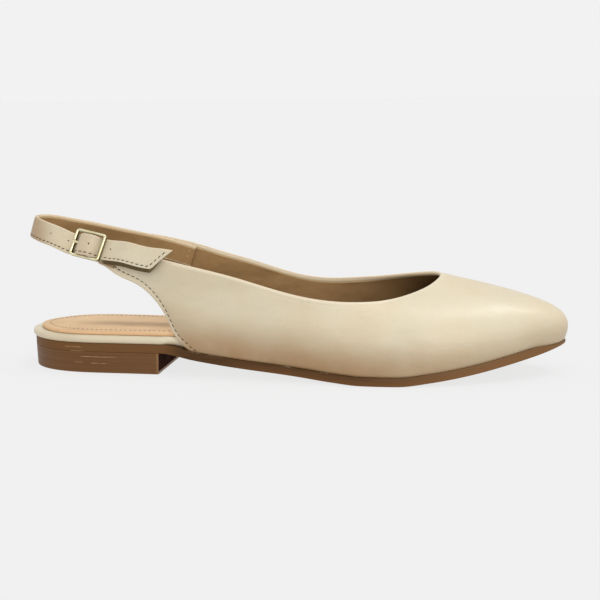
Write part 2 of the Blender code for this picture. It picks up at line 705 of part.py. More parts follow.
def build_sole(brown, stack):
    plate("outsole", brown, 0.0, tread_height, sole_top)
    for name, low, high in (
        ("heel_block", TOP_LIFT_HEIGHT + GAP, HEEL_HEIGHT - GAP),
        ("top_lift", 0.0, TOP_LIFT_HEIGHT),
    ):
        build_heel_piece(name, stack, low, high)


def build_heel_piece(name, material, low, high):
    """Piece of the stacked heel, which tapers towards the floor and ends in a flat breast."""
    rings = []
    for height in (low, high):
        inset = HEEL_INSET + HEEL_TAPER * (1 - height / HEEL_HEIGHT)
        rear, _, outer, inner = edges(inset)
        places = rear + (HEEL_LENGTH - rear) * np.linspace(0, 1, HEEL_STATIONS) ** 2
        ring = [(x, float(outer(x)), height) for x in places[1:]]
        ring += [(x, float(inner(x)), height) for x in places[:0:-1]]
        ring += [(rear, float(outer(rear)) / 2 + float(inner(rear)) / 2, height)]
        rings.append(np.array(ring))
    add_object(name, loft(name, rings), material)


def tucked(edge_inset, inside_inset):
    """Inset for each sample of the outline: small round the open heel, larger inside the upper."""
    quarter_edge = rib_feet[RIB_NAMES.index("outer_edge_base")][0]
    end = quarter_edge - TUCK_CLEARANCE
    return blend(edge_inset, inside_inset, ease(end - TUCK_RUN, end, EDGE_POINTS[:, 0]))


def build_insole(leather, lining):
    inside = FEATHER_INSET + UPPER_WALL + GAP
    board_low = lambda x: sole_top(x) + GAP
    board_high = lambda x: board_low(x) + BOARD_THICKNESS
    plate("insole_rim", leather, tucked(BOARD_INSET, inside), board_low, board_high,
          BOARD_THICKNESS * EDGE_ROUND)
    sock_low = lambda x: board_high(x) + GAP
    sock_high = lambda x: sock_low(x) + SOCK_THICKNESS
    plate("insole", lining, tucked(BOARD_INSET + SOCK_INSET, inside + SOCK_INSET), sock_low, sock_high,
          SOCK_THICKNESS * EDGE_ROUND)


def build_upper(leather):
    knots = [0.0]
    for low, high in zip(rib_knots[:-1], rib_knots[1:]):
        foot_run = np.linalg.norm(rib_points(high)[0] - rib_points(low)[0])
        top_run = np.linalg.norm(top_curve(high) - top_curve(low))
        pieces = max(1, round(max(foot_run, top_run) / UPPER_STEP))
        knots += list(np.linspace(low, high, pieces + 1)[1:])
    shares = np.linspace(0, 1, UPPER_ROWS)
    rows = [np.array([upper_point(knot, share) for share in shares]) for knot in knots]
    upper = add_object("upper", grid("upper", rows), leather)
    wall = upper.modifiers.new("wall", "SOLIDIFY")
    wall.thickness = UPPER_WALL
    wall.offset = -1
    wall.use_even_offset = False


def strap_section(run, slant):
    """Ring of the strap. slant moves its lower edge back, for the pointed tip."""
    half = STRAP_WIDTH / 2
    edge = STRAP_THICKNESS * STRAP_EDGE
    thick = STRAP_THICKNESS / 2
    ring = []
    for height, out in (
        (-half, -thick + edge), (-half, thick - edge), (-half + edge, thick), (half - edge, thick),
        (half, thick - edge), (half, -thick + edge), (half - edge, -thick), (-half + edge, -thick),
    ):
        back = slant * (half - height) / STRAP_WIDTH
        point, _, up, outward = strap_frame(run - back)
        ring.append(point + up * height + outward * out)
    return np.array(ring)


def build_strap(leather, cutters):
    runs = [0.0]
    while runs[-1] < STRAP_RUN - STRAP_STEP / 2:
        near_buckle = abs(runs[-1] - BUCKLE_RUN) < FRAME_LENGTH * WEAVE_RUN
        runs.append(runs[-1] + (WEAVE_STEP if near_buckle else STRAP_STEP))
    runs[-1] = STRAP_RUN
    tip_start = STRAP_RUN - TIP_RUN * TIP_SLANT
    rings = [strap_section(run, TIP_SLANT * ease(tip_start, STRAP_RUN, run)) for run in runs]
    strap = add_object("sling_strap", loft("sling_strap", rings), leather)
    for number, pitches in enumerate(HOLE_PLACES, 1):
        point, forward, up, outward = strap_frame(BUCKLE_RUN + pitches * HOLE_PITCH)
        bpy.ops.mesh.primitive_cylinder_add(
            vertices=ROUND_SIDES, radius=HOLE_DIAMETER / 2, depth=STRAP_THICKNESS * 2)
        cut(strap, bpy.context.object, f"hole_{number}", cutters, point, forward, up, outward)
    middle = PRONG_SLOT.middle * FRAME_LENGTH
    slot = block(PRONG_SLOT.length * FRAME_LENGTH, PRONG_WIDTH + 2 * METAL_GAP,
                 PRONG_THICKNESS + 2 * METAL_GAP)
    spot = at_buckle(middle, prong_height(middle))
    cut(strap, slot, "prong_slot", cutters, spot, BUCKLE_ALONG, BUCKLE_UP, BUCKLE_OUT)


def block(length, width, depth):
    """Box about the origin."""
    bpy.ops.mesh.primitive_cube_add(size=1)
    box = bpy.context.object
    box.data.transform(Matrix.Diagonal((length, width, depth, 1)))
    return box


def cut(obj, cutter, name, cutters, point, forward, up, outward):
    """Cuts a helper, placed by three directions, out of a piece."""
    place(cutter, name, point, forward, up, outward)
    for home in list(cutter.users_collection):
        home.objects.unlink(cutter)
    cutters.objects.link(cutter)
    cutter.hide_render = True
    cutter.display_type = "WIRE"
    cutter.parent = origin
    boolean = obj.modifiers.new(name, "BOOLEAN")
    boolean.operation = "DIFFERENCE"
    boolean.object = cutter
    boolean.solver = "EXACT"
    return boolean


def place(obj, name, point, forward, up, outward):
    obj.name = name
    matrix = Matrix.Identity(4)
    for row in range(3):
        matrix[row][0], matrix[row][1], matrix[row][2] = forward[row], up[row], outward[row]
        matrix[row][3] = point[row]
    obj.matrix_world = matrix


def prong_height(along):
    """Height of the prong over the frame's middle plane, rising from the centre bar to the rear bar."""
    share = np.clip(-along / (FRAME_LENGTH / 2 - BAR_WIDTH), 0, 1)
    return blend(PRONG_EYE_RADIUS, PRONG_OVER_BAR, share)


def build_buckle(gold, leather, cutters):
    frame = block(FRAME_LENGTH, FRAME_WIDTH, FRAME_DEPTH)
    place(frame, "buckle_frame", BUCKLE_CENTRE, BUCKLE_ALONG, BUCKLE_UP, BUCKLE_OUT)
    for home in list(frame.users_collection):
        home.objects.unlink(frame)
    collection.objects.link(frame)
    frame.data.materials.append(gold)
    window = block(FRAME_LENGTH - 2 * BAR_WIDTH, FRAME_WIDTH - 2 * BAR_WIDTH, FRAME_DEPTH * 2)
    cut(frame, window, "buckle_window", cutters, BUCKLE_CENTRE, BUCKLE_ALONG, BUCKLE_UP, BUCKLE_OUT)
    bpy.ops.mesh.primitive_cylinder_add(
        vertices=ROUND_SIDES, radius=CENTRE_BAR_RADIUS, depth=FRAME_WIDTH - BAR_WIDTH)
    bar = bpy.context.object
    join = cut(frame, bar, "centre_bar", cutters, BUCKLE_CENTRE, BUCKLE_ALONG, -BUCKLE_OUT, BUCKLE_UP)
    join.operation = "UNION"
    notch = block(BAR_WIDTH * 2, PRONG_WIDTH + 2 * METAL_GAP, NOTCH_DEPTH * 2)
    rest = at_buckle(-(FRAME_LENGTH - BAR_WIDTH) / 2, FRAME_DEPTH / 2)
    cut(frame, notch, "prong_rest", cutters, rest, BUCKLE_ALONG, BUCKLE_UP, BUCKLE_OUT)

    build_prong(gold)
    build_tab(leather, cutters)


def build_prong(gold):
    """Hooked round the centre bar, under the strap, with its tip over the rear bar."""
    path = [
        (PRONG_EYE_RADIUS * math.cos(angle), PRONG_EYE_RADIUS * math.sin(angle))
        for angle in PRONG_HOOK
    ]
    tip = -FRAME_LENGTH / 2 - PRONG_PAST_BAR
    path += [(along, prong_height(along)) for along in np.linspace(0, tip, 9)[1:]]
    path = np.array(path)
    runs = unit(np.gradient(path, axis=0))
    rings = []
    for i, ((along, out), (run_along, run_out)) in enumerate(zip(path, runs)):
        narrow = 1 - PRONG_TAPER * ease(len(path) - 4, len(path) - 1, i)
        width = PRONG_WIDTH / 2 * narrow
        thick = PRONG_THICKNESS / 2 * narrow
        rings.append(np.array([
            at_buckle(along - run_out * side_out, out + run_along * side_out, side_up)
            for side_up, side_out in (
                (-width, -thick), (-width, thick), (width, thick), (width, -thick))
        ]))
    add_object("buckle_prong", loft("buckle_prong", rings), gold)


def build_tab(leather, cutters):
    """Strip of leather folded round the centre bar, both ends lapped on the outer quarter."""
    outside = GAP + TAB_THICKNESS / 2
    loop = CENTRE_BAR_RADIUS + METAL_GAP + TAB_LEATHER / 2
    lap_start = rib_tops[0][0]
    tail = []
    for along in np.linspace(lap_start + TAB_LAP, lap_start, 4):
        knot = knot_at_length(along / SHOE_LENGTH, "outer")
        tail.append(band_on_upper(knot, TAB_BELOW_TOPLINE, TAB_WIDTH, outside))
    front_bar = FRAME_LENGTH / 2 - BAR_WIDTH
    tail.append((at_buckle(front_bar * TAB_KNEE, -UNDER_BAR - STRAP_THICKNESS / 2 - outside), BUCKLE_UP))
    half = TAB_LEATHER / 2 + FOLD_GAP / 2
    sheet = [[(middle + BUCKLE_OUT * half * side, up) for middle, up in tail] for side in (1, -1)]
    bend = [(at_buckle(loop * math.cos(a), loop * math.sin(a)), BUCKLE_UP) for a in TAB_FOLD]
    rows = sheet[0] + bend + sheet[1][::-1]
    points = np.array([point for point, _ in rows])
    knots = chord_knots(points)
    middle = cubic(knots, points)
    ups = cubic(knots, [up for _, up in rows])
    rings = []
    for run in np.linspace(0, knots[-1], TAB_STATIONS):
        point = middle(run)[0]
        tiny = TAB_LEATHER / 10
        forward = unit(middle(run + tiny)[0] - middle(run - tiny)[0])
        up = ups(run)[0]
        up = unit(up - forward * (up @ forward))
        outward = np.cross(forward, up)
        rings.append(np.array([
            point + up * TAB_WIDTH / 2 * high + outward * TAB_LEATHER / 2 * out
            for high, out in ((-1, -1), (-1, 1), (1, 1), (1, -1))
        ]))
    tab = add_object("buckle_tab", loft("buckle_tab", rings), leather)
    slot = block(TAB_SLOT.length * FRAME_LENGTH, PRONG_WIDTH + 2 * METAL_GAP, FRAME_DEPTH * 3)
    spot = at_buckle(TAB_SLOT.middle * FRAME_LENGTH, 0)
    cut(tab, slot, "tab_slot", cutters, spot, BUCKLE_ALONG, BUCKLE_UP, BUCKLE_OUT)


def centre_on_floor():
    """Moves the empty that carries all pieces, so that their box is centred over the origin."""
    bpy.context.view_layer.update()
    graph = bpy.context.evaluated_depsgraph_get()
    corners = []
    for obj in collection.objects:
        if obj.type != "MESH":
            continue
        evaluated = obj.evaluated_get(graph)
        corners += [obj.matrix_world @ vertex.co for vertex in evaluated.data.vertices]
    corners = np.array([tuple(corner) for corner in corners])
    middle = (corners.min(axis=0) + corners.max(axis=0)) / 2
    origin.location = (-middle[0], -middle[1], 0)
    bpy.context.view_layer.update()


for old in list(bpy.data.objects):
    bpy.data.objects.remove(old, do_unlink=True)

collection = bpy.data.collections.new("sling_back_flat")
bpy.context.scene.collection.children.link(collection)
cutter_collection = bpy.data.collections.new("cutters")
bpy.context.scene.collection.children.link(cutter_collection)
origin = bpy.data.objects.new("shoe_origin", None)
collection.objects.link(origin)

cream = material_of("cream_leather", LEATHER)
tan = material_of("tan_lining", LINING)
gold = material_of("pale_gold", PALE_GOLD)
build_sole(material_of("sole_brown", SOLE_BROWN), material_of("stack_brown", STACK_BROWN))
build_insole(cream, tan)
build_upper(cream)
build_strap(cream, cutter_collection)
build_buckle(gold, cream, cutter_collection)
for piece in collection.objects:
    if piece != origin:
        piece.parent = origin
centre_on_floor()
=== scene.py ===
import math
from collections import namedtuple

import bmesh
import bpy
import numpy as np
from mathutils import Matrix, Vector


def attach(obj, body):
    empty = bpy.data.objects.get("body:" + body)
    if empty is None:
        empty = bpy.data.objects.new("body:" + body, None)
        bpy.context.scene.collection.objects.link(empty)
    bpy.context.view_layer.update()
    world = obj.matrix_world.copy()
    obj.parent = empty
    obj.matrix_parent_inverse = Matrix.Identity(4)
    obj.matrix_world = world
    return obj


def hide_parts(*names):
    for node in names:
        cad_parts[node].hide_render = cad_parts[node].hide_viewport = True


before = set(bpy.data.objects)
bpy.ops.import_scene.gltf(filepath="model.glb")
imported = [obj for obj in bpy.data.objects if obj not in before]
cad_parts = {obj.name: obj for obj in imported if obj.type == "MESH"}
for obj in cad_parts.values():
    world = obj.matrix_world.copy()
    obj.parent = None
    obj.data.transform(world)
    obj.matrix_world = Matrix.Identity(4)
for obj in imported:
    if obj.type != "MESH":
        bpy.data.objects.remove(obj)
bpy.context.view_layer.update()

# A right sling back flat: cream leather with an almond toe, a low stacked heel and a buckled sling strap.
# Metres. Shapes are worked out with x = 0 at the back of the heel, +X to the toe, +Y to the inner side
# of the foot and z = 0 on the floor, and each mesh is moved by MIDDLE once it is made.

MIDDLE = np.array([0.132158, -0.001046, 0.0])

# Lengths and heights of the shoe
SHOE_LENGTH = 0.2630
HEEL_WIDTH = 0.0510
WAIST_WIDTH = 0.0500
BALL_WIDTH = 0.0765
TOE_SPRING = 0.0142
THROAT_HEIGHT = 0.0465
QUARTER_HEIGHT = 0.0545
STRAP_HEIGHT = 0.0676

# Sole, heel and insole
OUTSOLE_THICKNESS = 0.0042
HEEL_BLOCK_HEIGHT = 0.0052
TOP_LIFT_HEIGHT = 0.0046
HEEL_LENGTH = 0.0715
BREAST = 0.0733
HEEL_INSET = 0.0014
HEEL_TAPER = 0.0003
TOE_THINNING = 0.0028
TOE_THINNING_RUN = 0.018
TOE_TUCK = 0.0006
TOE_TUCK_RUN = 0.014
BOARD_THICKNESS = 0.0036
BOARD_INSET = 0.0003
SOCK_THICKNESS = 0.0014
SOCK_INSET = 0.0017
SOCK_INSET_BACK = 0.0046
TUCK_RUN = 0.0075
TUCK_CLEARANCE = 0.0018

# Upper
UPPER_WALL = 0.0018
FEATHER_INSET = 0.0011
FOLD_WIDTH = 0.0013
EDGE_STITCH = 0.0021

# Sling strap and buckle
STRAP_WIDTH = 0.0105
STRAP_THICKNESS = 0.0015
STRAP_STITCH = 0.0014
BACKING_DROP = 0.0015
TIP_SLANT = 0.0102
HOLE_DIAMETER = 0.0009
HOLE_ABOVE_MIDDLE = 0.0006
HOLE_PITCH = 0.0122
FRAME_LENGTH = 0.0161
FRAME_DEPTH = 0.0022
BAR_WIDTH = 0.0013
CENTRE_BAR_RADIUS = 0.00045
NOTCH_DEPTH = 0.0010
PRONG_WIDTH = 0.0011
PRONG_THICKNESS = 0.0006
PRONG_PAST_BAR = 0.00045
STRAP_OVER_QUARTER = 0.0013
STRAP_SLEW = 0.060
STRAP_DROP = 0.0005
TAB_LEATHER = 0.0006
TAB_WIDTH = 0.0104
TAB_LAP = 0.0070
TAB_BELOW_TOPLINE = 0.0002
BUCKLE_TURN = math.radians(-10.1)
BUCKLE_SLOPE = math.radians(-11.0)
BUCKLE_LEAN = math.radians(24.5)

# Clearances
GAP = 0.0003
METAL_GAP = 0.00025
FOLD_GAP = 0.0001
SEAM = 0.00001

HEEL_HEIGHT = TOP_LIFT_HEIGHT + GAP + HEEL_BLOCK_HEIGHT + GAP
FRAME_WIDTH = STRAP_WIDTH + 2 * (BAR_WIDTH + GAP)
TAB_THICKNESS = 2 * TAB_LEATHER

# Outline of the outsole from above, once round from the back of the heel along the outer side.
# along is a share of SHOE_LENGTH, the others are shares of HEEL_WIDTH, WAIST_WIDTH and BALL_WIDTH.
Outline = namedtuple("Outline", "along heel waist ball")
OUTLINE = {
    "heel_back": Outline(0.005, 0.000, 0.0, 0.0),
    "heel_round_outer": Outline(0.031, -0.292, 0.0, 0.0),
    "heel_side_outer": Outline(0.083, -0.458, 0.0, 0.0),
    "seat_outer": Outline(0.190, -0.518, 0.0, 0.0),
    "waist_outer": Outline(0.361, 0.0, -0.566, 0.0),
    "shank_outer": Outline(0.494, 0.0, -0.300, -0.232),
    "joint_rear_outer": Outline(0.601, 0.0, 0.0, -0.492),
    "joint_outer": Outline(0.677, 0.0, 0.0, -0.514),
    "joint_front_outer": Outline(0.760, 0.0, 0.0, -0.481),
    "toe_rear_outer": Outline(0.844, 0.0, 0.0, -0.382),
    "toe_side_outer": Outline(0.924, 0.0, 0.0, -0.248),
    "toe_corner_outer": Outline(0.978, 0.0, 0.0, -0.118),
    "toe_tip": Outline(1.000, 0.0, 0.0, 0.026),
    "toe_corner_inner": Outline(0.978, 0.0, 0.0, 0.163),
    "toe_side_inner": Outline(0.924, 0.0, 0.0, 0.284),
    "toe_rear_inner": Outline(0.844, 0.0, 0.0, 0.403),
    "joint_front_inner": Outline(0.760, 0.0, 0.0, 0.479),
    "joint_inner": Outline(0.700, 0.0, 0.0, 0.484),
    "joint_rear_inner": Outline(0.608, 0.0, 0.0, 0.418),
    "shank_inner": Outline(0.494, 0.0, 0.220, 0.164),
    "waist_inner": Outline(0.361, 0.0, 0.434, 0.0),
    "seat_inner": Outline(0.190, 0.484, 0.0, 0.0),
    "heel_side_inner": Outline(0.083, 0.446, 0.0, 0.0),
    "heel_round_inner": Outline(0.031, 0.284, 0.0, 0.0),
}

# Height of the tread side of the outsole: arch, flat at the ball, toe spring.
# seat is a share of HEEL_LENGTH, along of SHOE_LENGTH, arch of HEEL_HEIGHT, spring of TOE_SPRING.
Tread = namedtuple("Tread", "seat along arch spring")
TREAD = {
    "heel_back": Tread(0.0, 0.000, 1.00, 0.00),
    "heel_front": Tread(1.03, 0.0, 1.00, 0.00),
    "shank_rear": Tread(0.0, 0.342, 0.73, 0.00),
    "arch": Tread(0.0, 0.418, 0.49, 0.00),
    "shank_front": Tread(0.0, 0.530, 0.26, 0.00),
    "ball_rear": Tread(0.0, 0.600, 0.08, 0.00),
    "flat_rear": Tread(0.0, 0.645, 0.00, 0.00),
    "flat_front": Tread(0.0, 0.708, 0.00, 0.00),
    "toe_rear": Tread(0.0, 0.765, 0.00, 0.11),
    "toe_break": Tread(0.0, 0.830, 0.00, 0.29),
    "toe_middle": Tread(0.0, 0.900, 0.00, 0.56),
    "toe_front": Tread(0.0, 0.950, 0.00, 0.79),
    "toe_tip": Tread(0.0, 1.000, 0.00, 1.03),
}

# Ribs of the upper, a row for each, from the outer tab round the toe to the end of the inner quarter.
# A rib rises from its foot to the topline. The foot of an edge rib lies on the quarter's rear edge, and
# the foot of a sole rib on the feather line, at a station of OUTLINE counted in rows.
# along is a share of SHOE_LENGTH. across is a share of a width and up of a height, where front blends
# from WAIST_WIDTH and QUARTER_HEIGHT at 0 to BALL_WIDTH and THROAT_HEIGHT at 1.
Top = namedtuple("Top", "along across up front")
EdgeFoot = namedtuple("EdgeFoot", "along across up")
# lean and reach move the two handles along the rib in plan, and rise and drop along its height, as
# shares of the rib. flare and belly push them outward, as shares of BALL_WIDTH.
Bend = namedtuple("Bend", "lean flare rise reach belly drop")

Rib = namedtuple("Rib", "foot top bend")


def even(flare, belly):
    """Bend of the ribs of the quarters, whose handles stand at a third."""
    return Bend(0.33, flare, 0.33, 0.33, belly, 0.33)


RIBS = {
    "outer_tab_end": Rib(
        EdgeFoot(0.160, -0.374, 0.976), Top(0.169, -0.304, 1.134, 0.0), even(0.000, 0.000)),
    "outer_tab_neck": Rib(
        EdgeFoot(0.173, -0.389, 0.950), Top(0.186, -0.324, 1.116, 0.0), even(0.000, 0.000)),
    "outer_shoulder": Rib(
        EdgeFoot(0.185, -0.401, 0.908), Top(0.205, -0.365, 1.094, 0.0), even(0.002, 0.002)),
    "outer_edge_high": Rib(
        EdgeFoot(0.203, -0.420, 0.859), Top(0.228, -0.414, 1.064, 0.0), even(0.004, 0.004)),
    "outer_edge_middle": Rib(
        EdgeFoot(0.232, -0.446, 0.803), Top(0.255, -0.460, 1.030, 0.0), even(0.006, 0.006)),
    "outer_edge_low": Rib(
        EdgeFoot(0.261, -0.478, 0.705), Top(0.281, -0.492, 1.001, 0.0), even(0.010, 0.008)),
    "outer_edge_steep": Rib(
        EdgeFoot(0.288, -0.512, 0.538), Top(0.304, -0.506, 0.978, 0.0), even(0.014, 0.012)),
    "outer_edge_base": Rib(
        EdgeFoot(0.311, -0.534, 0.330), Top(0.327, -0.518, 0.954, 0.0), even(0.018, 0.016)),
    "outer_corner": Rib(
        3.83, Top(0.346, -0.524, 0.934, 0.0), even(0.020, 0.018)),
    "outer_waist": Rib(
        4.42, Top(0.418, -0.488, 0.898, 0.3), Bend(0.10, 0.028, 0.36, 0.20, 0.022, 0.33)),
    "outer_shank": Rib(
        5.33, Top(0.520, -0.434, 0.828, 0.8), Bend(0.00, 0.034, 0.38, 0.10, 0.026, 0.33)),
    "outer_joint_rear": Rib(
        6.10, Top(0.600, -0.408, 0.792, 1.0), Bend(0.00, 0.036, 0.42, 0.25, 0.018, 0.28)),
    "outer_joint": Rib(
        7.00, Top(0.663, -0.348, 0.790, 1.0), Bend(0.00, 0.036, 0.48, 0.55, 0.006, 0.18)),
    "outer_joint_front": Rib(
        8.00, Top(0.706, -0.270, 0.818, 1.0), Bend(0.00, 0.036, 0.54, 0.66, 0.000, 0.17)),
    "outer_toe_rear": Rib(
        9.00, Top(0.737, -0.190, 0.862, 1.0), Bend(0.00, 0.038, 0.56, 0.70, 0.000, 0.20)),
    "outer_toe_side": Rib(
        10.0, Top(0.759, -0.112, 0.910, 1.0), Bend(0.00, 0.056, 0.59, 0.71, 0.000, 0.25)),
    "outer_toe_corner": Rib(
        11.0, Top(0.772, -0.042, 0.955, 1.0), Bend(0.00, 0.080, 0.61, 0.73, 0.000, 0.31)),
    "toe_tip": Rib(
        12.0, Top(0.777, 0.020, 0.984, 1.0), Bend(0.00, 0.098, 0.62, 0.74, 0.000, 0.37)),
    "inner_toe_corner": Rib(
        13.0, Top(0.773, 0.080, 0.992, 1.0), Bend(0.00, 0.080, 0.61, 0.73, 0.000, 0.31)),
    "inner_toe_side": Rib(
        14.0, Top(0.759, 0.150, 0.984, 1.0), Bend(0.00, 0.056, 0.59, 0.71, 0.000, 0.24)),
    "inner_toe_rear": Rib(
        15.0, Top(0.733, 0.222, 0.960, 1.0), Bend(0.00, 0.040, 0.56, 0.70, 0.000, 0.19)),
    "inner_joint_front": Rib(
        16.0, Top(0.696, 0.298, 0.922, 1.0), Bend(0.00, 0.038, 0.54, 0.64, 0.002, 0.17)),
    "inner_joint": Rib(
        17.0, Top(0.654, 0.352, 0.882, 1.0), Bend(0.00, 0.038, 0.46, 0.50, 0.006, 0.20)),
    "inner_joint_rear": Rib(
        18.0, Top(0.592, 0.384, 0.842, 1.0), Bend(0.00, 0.034, 0.38, 0.20, 0.020, 0.28)),
    "inner_shank": Rib(
        19.0, Top(0.498, 0.402, 0.850, 0.8), Bend(0.00, 0.028, 0.36, 0.20, 0.028, 0.33)),
    "inner_waist": Rib(
        19.6, Top(0.412, 0.462, 0.916, 0.3), Bend(0.20, 0.022, 0.34, 0.30, 0.026, 0.33)),
    "inner_corner": Rib(
        20.17, Top(0.342, 0.498, 0.976, 0.0), even(0.018, 0.020)),
    "inner_edge_base": Rib(
        EdgeFoot(0.311, 0.448, 0.330), Top(0.326, 0.490, 1.002, 0.0), even(0.016, 0.016)),
    "inner_edge_steep": Rib(
        EdgeFoot(0.288, 0.446, 0.540), Top(0.307, 0.480, 1.029, 0.0), even(0.012, 0.012)),
    "inner_edge_low": Rib(
        EdgeFoot(0.266, 0.440, 0.705), Top(0.288, 0.468, 1.055, 0.0), even(0.010, 0.008)),
    "inner_edge_middle": Rib(
        EdgeFoot(0.246, 0.434, 0.808), Top(0.268, 0.456, 1.078, 0.0), even(0.006, 0.006)),
    "inner_strap_root": Rib(
        EdgeFoot(0.226, 0.426, 0.868), Top(0.243, 0.443, 1.103, 0.0), even(0.003, 0.003)),
    "inner_strap_end": Rib(
        EdgeFoot(0.207, 0.418, 0.903), Top(0.218, 0.430, 1.126, 0.0), even(0.002, 0.002)),
}
RIB_NAMES = list(RIBS)

# Place on the outer topline that the tab and the buckle hang from
TAB_ROOT = Top(0.178, -0.312, 1.125, 0.0)

# Lap of the sling strap inside the inner quarter. along is a share of SHOE_LENGTH, and below sets the
# strap's upper edge under the topline, as a share of STRAP_WIDTH.
Lap = namedtuple("Lap", "along below")
STRAP_LAP = {
    "front": Lap(0.3000, 0.04),
    "front_middle": Lap(0.2805, 0.01),
    "middle": Lap(0.2610, -0.02),
    "rear_middle": Lap(0.2415, -0.05),
    "rear": Lap(0.2220, -0.08),
}

# Middle line of the sling strap where it is free, from the inner quarter round the heel to the buckle.
# along is a share of SHOE_LENGTH, across of HEEL_WIDTH and up of STRAP_HEIGHT. lean is in degrees and
# tips the upper edge inward.
Free = namedtuple("Free", "along across up lean")
STRAP_FREE = {
    "inner_rear": Free(0.157, 0.376, 0.890, 8),
    "inner_heel": Free(0.099, 0.334, 0.941, 10),
    "inner_round": Free(0.059, 0.264, 0.976, 11),
    "inner_turn": Free(0.026, 0.156, 1.006, 14),
    "back": Free(0.013, 0.006, 1.010, 17),
    "outer_turn": Free(0.024, -0.120, 1.003, 18),
    "outer_round": Free(0.046, -0.206, 0.981, 20),
    "outer_heel": Free(0.072, -0.268, 0.955, 22),
}

# Middle line of the strap across the buckle, from behind the rear bar to past the front bar.
# along is a share of FRAME_LENGTH from the centre bar. over is a share of the rise from under the outer
# bars to over the prong.
Weave = namedtuple("Weave", "along over")
STRAP_WEAVE = {
    "behind": Weave(-0.80, 0.04),
    "rear_bar": Weave(-0.47, 0.00),
    "rear_inside": Weave(-0.40, 0.01),
    "climb": Weave(-0.30, 0.47),
    "hump_rear": Weave(-0.205, 0.90),
    "centre_bar": Weave(0.00, 1.00),
    "hump_front": Weave(0.17, 0.83),
    "descent": Weave(0.325, 0.25),
    "front_inside": Weave(0.392, 0.06),
    "front_bar": Weave(0.46, 0.00),
}

# Middle line of the strap past the buckle, beside the topline of the outer quarter.
# along is a share of SHOE_LENGTH, lift and stand_off are shares of STRAP_WIDTH.
Beside = namedtuple("Beside", "along lift stand_off lean")
STRAP_FRONT = {
    "front_near": Beside(0.221, -0.15, 0.350, 20),
    "front_middle": Beside(0.255, -0.07, 0.340, 17),
    "tip_middle": Beside(0.288, 0.06, 0.380, 13),
    "tip": Beside(0.305, 0.10, 0.410, 12),
}

# Holes of the strap, counted in pitches from the centre bar
HOLE_PLACES = (-2.00, -1.09, 0.10, 1.065)

# The slot that lets the prong through the strap, and the one round the prong's hook in the tab, as
# shares of FRAME_LENGTH from the centre bar
Slot = namedtuple("Slot", "middle length")
PRONG_SLOT = Slot(-0.26, 0.22)
TAB_SLOT = Slot(-0.08, 0.42)


# Curves

def cubic(knots, rows):
    """Natural cubic spline through rows of numbers, a function of the knots."""
    knots = np.asarray(knots, float)
    rows = np.asarray(rows, float).reshape(len(knots), -1)
    gaps = np.diff(knots)
    slopes = np.diff(rows, axis=0) / gaps[:, None]
    count = len(knots)
    matrix = np.eye(count)
    right = np.zeros_like(rows)
    for i in range(1, count - 1):
        matrix[i, i - 1:i + 2] = gaps[i - 1], 2 * (gaps[i - 1] + gaps[i]), gaps[i]
        right[i] = 6 * (slopes[i] - slopes[i - 1])
    bends = np.linalg.solve(matrix, right)

    def at(where):
        where = np.atleast_1d(np.asarray(where, float))
        i = np.clip(np.searchsorted(knots, where) - 1, 0, count - 2)
        a = (knots[i + 1] - where)[:, None]
        b = (where - knots[i])[:, None]
        gap = gaps[i][:, None]
        low = rows[i] / gap - bends[i] * gap / 6
        high = rows[i + 1] / gap - bends[i + 1] * gap / 6
        return bends[i] * a**3 / (6 * gap) + bends[i + 1] * b**3 / (6 * gap) + low * a + high * b

    return at


def chord_knots(points):
    """Distance run along a row of points."""
    steps = np.linalg.norm(np.diff(points, axis=0), axis=1)
    return np.concatenate([[0.0], np.cumsum(steps)])


def even_slopes(knots, values):
    """Curve through values that never swings past them, so a flat stretch stays flat."""
    gaps = np.diff(knots)
    slopes = np.diff(values) / gaps
    ends = np.zeros(len(knots))
    for i in range(1, len(knots) - 1):
        if slopes[i - 1] * slopes[i] > 0:
            before = 2 * gaps[i] + gaps[i - 1]
            after = gaps[i] + 2 * gaps[i - 1]
            ends[i] = (before + after) / (before / slopes[i - 1] + after / slopes[i])
    ends[-1] = slopes[-1]

    def at(where):
        where = np.asarray(where, float)
        i = np.clip(np.searchsorted(knots, where) - 1, 0, len(gaps) - 1)
        t = (where - knots[i]) / gaps[i]
        swing = (3 - 2 * t) * t * t
        lift = values[i] + (values[i + 1] - values[i]) * swing
        return lift + gaps[i] * (ends[i] * t * (1 - t) ** 2 - ends[i + 1] * t * t * (1 - t))

    return at


def unit(vectors):
    vectors = np.asarray(vectors, float)
    return vectors / np.linalg.norm(vectors, axis=-1, keepdims=True)


def ease(start, end, where):
    """0 before start, 1 after end, smooth between."""
    t = np.clip((where - start) / (end - start), 0, 1)
    return t * t * (3 - 2 * t)


# Outline of the sole

outline_rows = np.array([
    (row.along * SHOE_LENGTH, row.heel * HEEL_WIDTH + row.waist * WAIST_WIDTH + row.ball * BALL_WIDTH)
    for row in OUTLINE.values()
])
OUTLINE_COUNT = len(outline_rows)
WRAP = 6
wrapped = np.concatenate([outline_rows[-WRAP:], outline_rows, outline_rows[:WRAP + 1]])
wrapped_knots = chord_knots(wrapped)
outline_curve = cubic(wrapped_knots, wrapped)
row_to_knot = cubic(np.arange(len(wrapped)), wrapped_knots)


def outline(station):
    """Points and outward normals of the sole's edge at stations counted in rows of OUTLINE."""
    knot = row_to_knot(np.atleast_1d(station) + WRAP)[:, 0]
    tiny = SHOE_LENGTH * 1e-4
    run = unit(outline_curve(knot + tiny) - outline_curve(knot - tiny))
    return outline_curve(knot), np.stack([run[:, 1], -run[:, 0]], 1)


EDGE_SAMPLES = np.linspace(0, OUTLINE_COUNT, 1200)
EDGE_POINTS, EDGE_NORMALS = outline(EDGE_SAMPLES)


